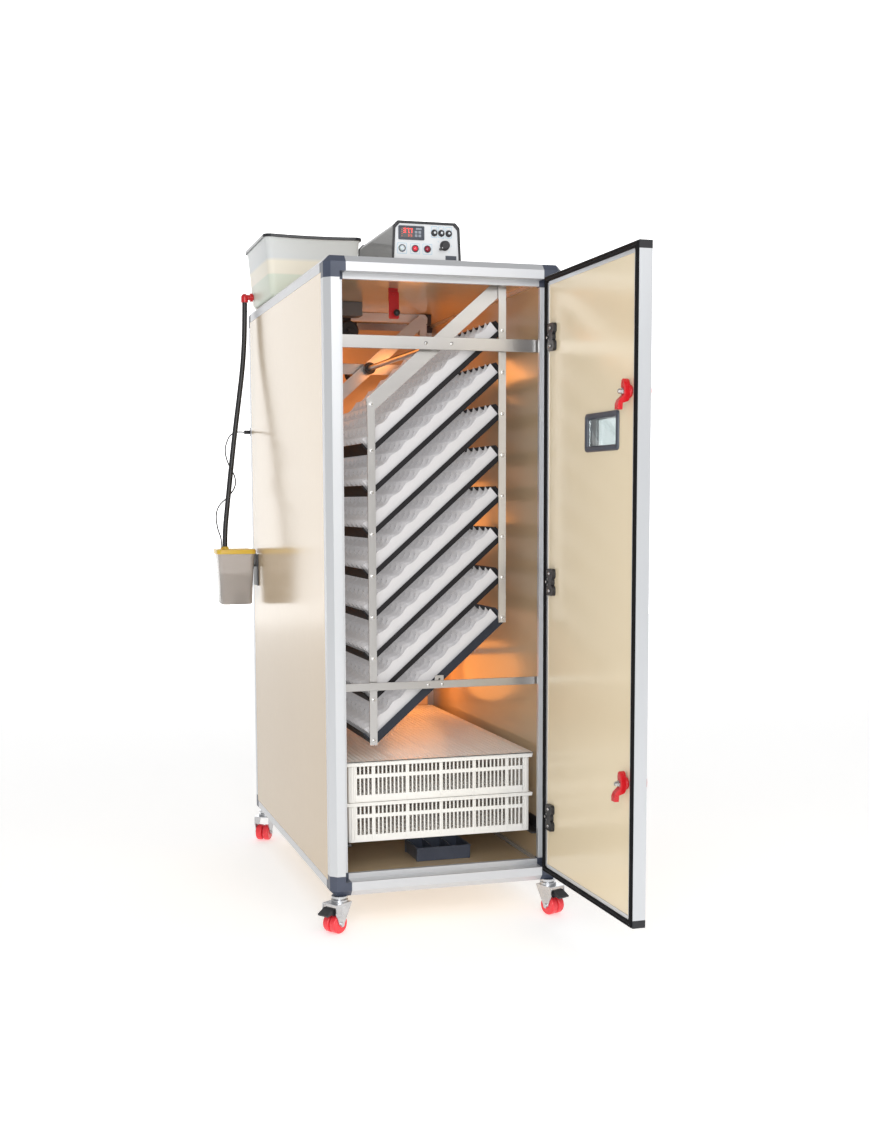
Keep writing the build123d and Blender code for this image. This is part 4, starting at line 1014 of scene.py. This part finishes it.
def hinge_plates():
    """Screws in the outer leaves, and the pins seen on the inner plates."""
    bm = bmesh.new()
    for z in (191.0, 797.0, 1407.0):
        for dz in (-22, 22):
            for x in (DX1 - 36, DX1 - 20):
                lathe(bm, (x, -4, z + dz), (x, -5.6, z + dz),
                      [(0, 4.2), (0.6, 3.9), (1, 2.2), (0.6, 1.9), (0.6, 0)], 18)
        for dz in (-22, 22):
            x = DX1 - 51
            lathe(bm, (x, DOOR_T + 9, z + dz), (x, DOOR_T + 10.4, z + dz),
                  [(0, 4.4), (0.7, 4.1), (1, 2.4), (0.5, 2.0), (0.5, 0)], 18)
        lathe(bm, (DX1 - 34, DOOR_T + 9.8, z), (DX1 - 34, DOOR_T + 11.4, z),
              [(0, 3.3), (0.7, 3.0), (1, 1.6), (1, 0)], 18)
    make("hinge_screws", bm, "door", BOLT, OPENED)


LATCH_X = 79.0


def latch(name, z):
    """A catch on the door's inside and a lever on its outside, on one spindle."""
    y = DOOR_T
    bm = bmesh.new()
    add_rod(bm, (LATCH_X, y - 1, z), (LATCH_X, y + 6, z), 15, 32, edge=1.5)
    lobe = [(-10, -12), (-10.5, 2), (-9, 14), (-4.5, 24), (2, 28), (8, 25), (10.5, 16), (10, 4),
            (10, -12), (6, -19), (-6, -19)]
    add_prism(bm, [(LATCH_X + a, y + 4, z + b) for a, b in lobe], (0, 14, 0))
    hook = [(4, -14), (18, -8), (30, -19), (33.5, -28), (33.5, -40), (22, -40.5), (21, -26), (8, -22)]
    add_prism(bm, [(LATCH_X - 9, y + a, z + b) for a, b in hook], (18, 0, 0))
    make(name + "_catch", bm, name, RED, OPENED, [name], bevel=3.0, segments=3)
    bm = bmesh.new()
    lathe(bm, (LATCH_X, y + 16, z), (LATCH_X, y + 29.5, z),
          [(0, 8), (0.35, 8), (0.45, 6.6), (0.45, 5.6), (0.85, 5.6), (1, 4.2), (1, 0)], 6)
    lathe(bm, (LATCH_X, -13.8, z), (LATCH_X, -15.2, z), [(0, 7), (0.6, 6.6), (1, 4.5), (1, 0)], 24)
    make(name + "_nut", bm, name, BOLT, OPENED, [name])
    bm = bmesh.new()
    outline = [(-13, -9), (-14, 0), (-13, 9), (-8, 14), (2, 15), (14, 12), (30, 8.5), (48, 9),
               (62, 13), (71, 13.5), (75.5, 8), (76, 0), (75.5, -8), (71, -13.5), (62, -13),
               (48, -9), (30, -8.5), (14, -12), (2, -15), (-8, -14)]
    add_prism(bm, [(LATCH_X + a, -14, z + b) for a, b in outline], (0, 8, 0))
    add_rod(bm, (LATCH_X, -7, z), (LATCH_X, -0.6, z), 13, 28, edge=1.0)
    make(name + "_lever", bm, name, RED, OPENED, [name], bevel=2.4, segments=3)


door_seal()
window()
hinge_plates()
latch("latch_upper", 1241.0)
latch("latch_lower", 366.0)


# ------------------------------------------------------------------ control box

BOX_X, BOX_Y0, BOX_Y1 = 277.5, 60.0, 430.0
LAMP_X = (-63.5, -29.5, 2.5)
FUSE_X = (20.5, 39.0, 58.5)
OUTLINE = ((-91, 0.3), (91, 0.3), (87, 88), (76, 100), (-76, 100), (-87, 88))


def box_ring(inset):
    points = []
    for x, z in OUTLINE:
        way = 1 if x > 0 else -1
        points.append((BOX_X + x - way * inset, H + z - (inset if z > 50 else -inset)))
    return points


def control_box():
    bm = bmesh.new()
    add_prism(bm, [(x, BOX_Y0 + 5, z) for x, z in box_ring(1.5)], (0, BOX_Y1 - BOX_Y0 - 10, 0))
    make("control_shell", bm, "cabinet", BOX_GREY, replaces=["control_box"],
         bevel=3.0, segments=3)
    for name, ya, yb in (("front", BOX_Y0, BOX_Y0 + 9), ("rear", BOX_Y1, BOX_Y1 - 9)):
        bm = bmesh.new()
        outer, inner = box_ring(0), box_ring(6)
        rings = [[bm.verts.new((x, y, z)) for x, z in ring]
                 for ring, y in ((outer, ya), (outer, yb), (inner, yb), (inner, ya))]
        n = len(outer)
        for i in range(n):
            j = (i + 1) % n
            for a in range(4):
                p, q = rings[a], rings[(a + 1) % 4]
                bm.faces.new((p[i], p[j], q[j], q[i]))
        make(f"control_bezel_{name}", bm, "cabinet", BLACK,
             replaces=["control_box"], bevel=1.6, segments=3)


def control_panel():
    face = BOX_Y0 + 4
    bm = bmesh.new()
    add_prism(bm, [(x, face, z) for x, z in box_ring(6.2)], (0, 1.9, 0))
    make("control_face", bm, "cabinet", FACE_WHITE, replaces=["control_panel"])
    bm = bmesh.new()
    plates = [(BOX_X + x - 12.5, BOX_X + x + 12.5, H + 19.5, H + 46) for x in LAMP_X]
    plates += [(BOX_X + x - 8, BOX_X + x + 8, H + 62, H + 90) for x in FUSE_X]
    for x0, x1, z0, z1 in plates:
        loop_frame(bm, x0, x1, z0, z1, 2.0,
                   [(0, face), (0, face - 0.35), (1.3, face - 0.35), (1.3, face)], steps=4)
    # a scale round the knob
    for i in range(5):
        a = math.radians(-60 + 50 * i)
        x, z = BOX_X + 47.5 + 19 * math.sin(a), H + 43 + 19 * math.cos(a)
        if z < H + 62 and x < BOX_X + 78:
            add_box(bm, x - 0.7, x + 0.7, face - 0.35, face, z - 1.5, z + 1.5)
    make("control_marks", bm, "cabinet", LABEL_BLUE,
         replaces=["control_panel"])
    bm = bmesh.new()
    add_box(bm, BOX_X + 50, BOX_X + 79, face - 0.5, face, H + 8.5, H + 19)
    make("blank_plate", bm, "cabinet", SLATE, replaces=["control_panel"],
         bevel=0.3)


SEGMENTS = {
    "0": "abcdef", "1": "bc", "2": "abged", "3": "abgcd", "4": "fgbc",
    "5": "afgcd", "6": "afgedc", "7": "abc", "8": "abcdefg", "9": "abcdfg",
}


def digit(bm, char, x, z, w, h, y, t, mat=0):
    """One seven-segment digit; x and z are its lower left corner."""
    bars = {
        "a": (x, x + w, z + h - t, z + h),
        "g": (x, x + w, z + h / 2 - t / 2, z + h / 2 + t / 2),
        "d": (x, x + w, z, z + t),
        "f": (x, x + t, z + h / 2, z + h),
        "e": (x, x + t, z, z + h / 2),
        "b": (x + w - t, x + w, z + h / 2, z + h),
        "c": (x + w - t, x + w, z, z + h / 2),
    }
    for s in SEGMENTS[char]:
        x0, x1, z0, z1 = bars[s]
        add_box(bm, x0 + 0.1, x1 - 0.1, y - 0.3, y, z0 + 0.1, z1 - 0.1, mat)


def controller():
    face = BOX_Y0 + 4
    x0, x1, z0, z1 = BOX_X - 73, BOX_X - 6, H + 54, H + 88
    bm = bmesh.new()
    loop_frame(bm, x0, x1, z0, z1, 2.5,
               [(0, face), (0, face - 3), (0.8, face - 4), (3.2, face - 4), (4, face - 2.4), (4, face)])
    add_box(bm, x0 + 3.6, x1 - 3.6, face - 2.0, face, z0 + 3.6, z1 - 3.6)
    make("controller_case", bm, "cabinet", SLATE,
         replaces=["panel_fittings"])
    bm = bmesh.new()
    y = face - 2.05
    add_box(bm, x0 + 5.5, x0 + 39, y - 0.2, y + 0.4, z0 + 5, z1 - 5)
    make("controller_screen", bm, "cabinet", SCREEN,
         replaces=["panel_fittings"], bevel=0.2)
    bm = bmesh.new()
    for i, char in enumerate("377"):
        digit(bm, char, x0 + 12.5 + i * 8.4, z0 + 16.5, 6.0, 11, y - 0.2, 1.5)
    add_box(bm, x0 + 26.7, x0 + 28.1, y - 0.5, y - 0.2, z0 + 16.5, z0 + 18)
    make("controller_digits", bm, "cabinet", DIGIT, replaces=["panel_fittings"])
    bm = bmesh.new()
    for i, char in enumerate("65"):
        digit(bm, char, x0 + 25 + i * 6, z0 + 7.5, 4.0, 6.5, y - 0.2, 1.0)
    for i in range(4):
        add_box(bm, x0 + 8, x0 + 9.6, y - 0.5, y - 0.2, z0 + 8 + i * 5, z0 + 9.4 + i * 5)
    make("controller_small_digits", bm, "cabinet", DIGIT_DIM,
         replaces=["panel_fittings"])
    bm = bmesh.new()
    for i in range(2):
        for j in range(2):
            add_box(bm, x0 + 42 + i * 9.5, x0 + 49 + i * 9.5, y - 1.0, y + 0.4, z0 + 7 + j * 8.5,
                    z0 + 13.5 + j * 8.5)
    add_box(bm, x0 + 45, x0 + 60, y - 0.4, y + 0.4, z0 + 25, z0 + 29.5)
    make("controller_keys", bm, "cabinet", KEY, replaces=["panel_fittings"],
         bevel=0.4)
    bm = bmesh.new()
    for x in FUSE_X:
        cx, cz = BOX_X + x, H + 73.5
        lathe(bm, (cx, face, cz), (cx, face - 8, cz),
              [(0, 8.4), (0.25, 8.4), (0.35, 7.0), (0.9, 6.6), (1, 5.6), (1, 3.4), (0.8, 3.2), (0.8, 0)], 28)
    make("fuse_caps_skin", bm, "cabinet", BLACK,
         replaces=["panel_fittings"])
    bm = bmesh.new()
    for x in FUSE_X:
        cx, cz = BOX_X + x, H + 73.5
        add_box(bm, cx - 3, cx + 3, face - 7.4, face - 6.6, cz - 0.5, cz + 0.5)
        add_rod(bm, (cx, face - 6.9, cz), (cx, face - 6.2, cz), 3.0, 20, edge=0.2)
    make("fuse_slots", bm, "cabinet", LAMP_WHITE, replaces=["panel_fittings"])


def lamps():
    face = BOX_Y0 + 4
    for x, name, material in zip(LAMP_X, ("white", "red", "dark"), (LAMP_WHITE, LAMP_RED, LAMP_DARK)):
        cx, cz = BOX_X + x, H + 33
        bm = bmesh.new()
        profile = [(0, 7.4)]
        for i in range(1, 7):
            a = math.pi / 2 * i / 6
            profile.append((math.sin(a), 7.4 * math.cos(a)))
        profile[-1] = (1, 0)
        lathe(bm, (cx, face, cz), (cx, face - 6, cz), profile, 28)
        make(f"lamp_{name}", bm, "cabinet", material, replaces=["panel_lamps"])
        bm = bmesh.new()
        lathe(bm, (cx, face, cz), (cx, face - 2.4, cz),
              [(0, 9.3), (0.8, 9.0), (1, 8.2), (1, 7.5), (0, 7.5)], 28)
        make(f"lamp_ring_{name}", bm, "cabinet", SLATE,
             replaces=["panel_lamps"])


def selector():
    face = BOX_Y0 + 4
    cx, cz = BOX_X + 47.5, H + 43
    bm = bmesh.new()
    profile = [(0, 12.4), (0.15, 12.4), (0.25, 11.4), (0.85, 11.0), (1, 9.6), (1, 0)]
    lathe(bm, (cx, face - 0.4, cz), (cx, face - 14, cz), profile, 48)
    a = math.radians(-128)
    dx, dz = math.sin(a), math.cos(a)
    nx, nz = dz, -dx
    tip = 17.6
    points = []
    for s, t in ((-8, -3.6), (tip - 3, -3.6), (tip, -1.6), (tip, 1.6), (tip - 3, 3.6), (-8, 3.6)):
        points.append((cx + dx * s + nx * t, face - 13.9, cz + dz * s + nz * t))
    add_prism(bm, points, (0, 13, 0))
    make("selector_skin", bm, "selector_knob", BLACK,
         replaces=["selector_knob"], bevel=0.5)
    bm = bmesh.new()
    s = 12
    add_box(bm, cx + dx * s - 1, cx + dx * s + 1, face - 14.2, face - 13.7, cz + dz * s - 1, cz + dz * s + 1)
    make("selector_mark", bm, "selector_knob", FACE_WHITE,
         replaces=["selector_knob"])


control_box()
control_panel()
controller()
lamps()
selector()


# ------------------------------------------------------------------ tank, lid and cup


def tapered_shell(bm, x_range, y_range, levels, radius, thick, floor_z):
    """An open vessel with rounded corners. levels lists (z, inset), from the bottom up."""

    def ring(z, inset, r):
        return level_ring(bm, x_range, y_range, z, inset, r)

    outer = [ring(z, inset, max(4, radius - inset * 0.3)) for z, inset in levels]
    inner = [ring(z, inset + thick, max(3, radius - thick - inset * 0.3))
             for z, inset in levels if z >= floor_z]
    walls = outer + inner[::-1]
    join_rings(bm, walls)
    bm.faces.new(walls[0][::-1])
    bm.faces.new(walls[-1])


TANK_TOP = H + 176.0
TANK_X, TANK_Y = (-12.0, 284.0), (748.0, 1105.0)


def tank():
    bm = bmesh.new()
    z0 = H + 0.4
    levels = [(z0, 34), (z0 + 1.5, 27), (z0 + 5, 22.5), (z0 + 12, 19.5), (z0 + 60, 15.5),
              (z0 + 120, 10.5), (TANK_TOP - 12, 6.6), (TANK_TOP - 9, 5.0), (TANK_TOP - 2, 4.6),
              (TANK_TOP, 5.2)]
    tapered_shell(bm, TANK_X, TANK_Y, levels, 24, 2.2, z0 + 3.4)
    make("tank_skin", bm, "cabinet", MILKY, replaces=["tank"])
    bm = bmesh.new()
    levels = [(z0 + 4.4, 31), (z0 + 12, 22.2), (z0 + 60, 18.2), (z0 + 84, 16.4)]
    filled(bm, TANK_X, TANK_Y, levels, 14)
    make("tank_water", bm, "cabinet", WATER)


def tank_lid():
    """A thin lid with a turned-down rim; its long edges sag between the corners."""
    x0, x1 = TANK_X
    y0, y1 = TANK_Y
    z = TANK_TOP + 0.4
    bm = bmesh.new()
    steps = 8
    rings = []

    def sag(x, y):
        u = (x - x0) / (x1 - x0) * 2 - 1
        v = (y - y0) / (y1 - y0) * 2 - 1
        return -5.0 * max(0.0, 1 - u * u) * max(0.0, 1 - 0.4 * v * v)

    def ring(inset, dz):
        made = []
        outline = rounded_outline(x0 + inset, x1 - inset, y0 + inset, y1 - inset, max(24 - inset, 3), steps)
        dense = []
        for a, b in zip(outline, outline[1:] + outline[:1]):
            pa = Vector((a[0] + a[2] * a[4], a[1] + a[3] * a[4]))
            pb = Vector((b[0] + b[2] * b[4], b[1] + b[3] * b[4]))
            count = 12 if (pb - pa).length > 60 else 1
            for i in range(count):
                dense.append(pa.lerp(pb, i / count))
        for p in dense:
            made.append(bm.verts.new((p.x, p.y, z + dz + sag(p.x, p.y))))
        return made

    for inset, dz in ((2.6, -5.5), (1.2, -6.5), (0.2, -5.5), (0.0, 0.5), (0.6, 2.0),
                      (2.5, 2.8), (8.0, 2.9), (10.0, 1.6), (14.0, 1.4)):
        rings.append(ring(inset, dz))
    join_rings(bm, rings)
    bm.faces.new(rings[-1])
    close_under(bm, rings[0], ring(2.6, -1.5))
    for f in bm.faces:
        f.smooth = True
    make("tank_lid_skin", bm, "tank_lid", LID_BLACK, replaces=["tank_lid"])


def cup():
    x_range, y_range = (-131.0, -8.0), (986.0, 1092.0)
    bm = bmesh.new()
    levels = [(682.2, 17), (684, 14.2), (688, 12.8), (760, 9.4), (830, 5.2), (836, 4.2), (846, 4.0)]
    tapered_shell(bm, x_range, y_range, levels, 17, 1.4, 685.5)
    make("refill_cup_skin", bm, "cabinet", CLEAR, replaces=["refill_cup"])
    bm = bmesh.new()
    filled(bm, x_range, y_range, [(686, 15.8), (690, 14.4), (760, 11.0), (778, 10.0)], 10)
    make("cup_water", bm, "cabinet", CLEAR)
    bm = bmesh.new()
    edge = [(4.6, 841), (1.4, 840.4), (0.2, 841.5), (0.0, 851), (0.8, 854), (3.5, 855.2),
            (12, 855.2), (13.5, 853.6), (18, 853.4)]
    rings = [level_ring(bm, x_range, y_range, z, inset, max(17 - inset * 0.6, 4)) for inset, z in edge]
    join_rings(bm, rings)
    bm.faces.new(rings[-1])
    close_under(bm, rings[0], level_ring(bm, x_range, y_range, 846.4, 4.6, 14))
    lathe(bm, (-97, 1052, 852), (-97, 1052, 862.2),
          [(0, 14), (0.3, 12.5), (0.8, 11.6), (1, 10.4), (1, 0)], 28)
    lathe(bm, (-112, 1020, 852), (-112, 1020, 860.2), [(0, 6), (0.5, 4.8), (1, 3.6), (1, 0)], 20)
    make("refill_cup_lid_skin", bm, "cabinet", YELLOW,
         replaces=["refill_cup_lid"])


tank()
tank_lid()
cup()


# ------------------------------------------------------------------ light and floor


def area(name, place, target, size, power):
    lamp = bpy.data.lights.new(name, "AREA")
    lamp.shape = "SQUARE"
    lamp.size = size
    lamp.energy = power
    obj = bpy.data.objects.new(name, lamp)
    bpy.context.scene.collection.objects.link(obj)
    where, look = at(*place), at(*target)
    facing = (look - where).to_track_quat("-Z", "Y").to_matrix().to_4x4()
    obj.matrix_world = Matrix.Translation(where) @ facing


def glow(name, place, power, colour, radius):
    lamp = bpy.data.lights.new(name, "POINT")
    lamp.energy = power
    lamp.color = colour
    lamp.shadow_soft_size = radius
    lamp.specular_factor = 0.35
    obj = bpy.data.objects.new(name, lamp)
    bpy.context.scene.collection.objects.link(obj)
    obj.location = at(*place)


world = bpy.data.worlds.new("studio")
world.use_nodes = True
world.node_tree.nodes["Background"].inputs["Color"].default_value = (1, 1, 1, 1)
world.node_tree.nodes["Background"].inputs["Strength"].default_value = 0.46
bpy.context.scene.world = world
bpy.context.scene.view_settings.view_transform = "Standard"
bpy.context.scene.view_settings.look = "None"

area("key", (700, -3300, 3000), (200, 300, 900), 2.2, 36)
area("fill", (-900, -3300, 1400), (300, 300, 800), 1.8, 52)
AMBER = (1.0, 0.34, 0.07)
glow("heater", (470, 860, 460), 1.1, AMBER, 0.10)
glow("rear_middle", (500, 900, 950), 1.5, AMBER, 0.12)
glow("rear_top", (420, 640, 1380), 2.0, AMBER, 0.10)
glow("rear_corner", (120, 900, 1440), 1.6, AMBER, 0.10)


def stage_plane(name, material, place, width, length):
    """A flat plane of the given size in metres, centred on place."""
    bm = bmesh.new()
    spread = Matrix.Diagonal((width, length, 1, 1))
    bmesh.ops.create_grid(bm, x_segments=1, y_segments=1, size=0.5, matrix=spread)
    mesh = bpy.data.meshes.new(name)
    bm.to_mesh(mesh)
    bm.free()
    mesh.materials.append(material)
    plane = bpy.data.objects.new(name, mesh)
    plane.matrix_world = place
    bpy.context.scene.collection.objects.link(plane)


floor_white = finish("floor_white", (0.90, 0.90, 0.90), 0.8, 0, 0.01, 1, 0.05,
                     Emission_Color=(1, 1, 1, 1), Emission_Strength=0.38)
stage_plane("floor", floor_white, Matrix.Translation((0, 0, cad_box[0][2] - 0.0005)), 60, 60)
backdrop_white = lit("backdrop_white", (1, 1, 1), 1.0)
backdrop_place = Matrix.Translation((3.2, 9, 2.5)) @ Matrix.Rotation(math.pi / 2, 4, "X")
stage_plane("backdrop", backdrop_white, backdrop_place, 13, 9)
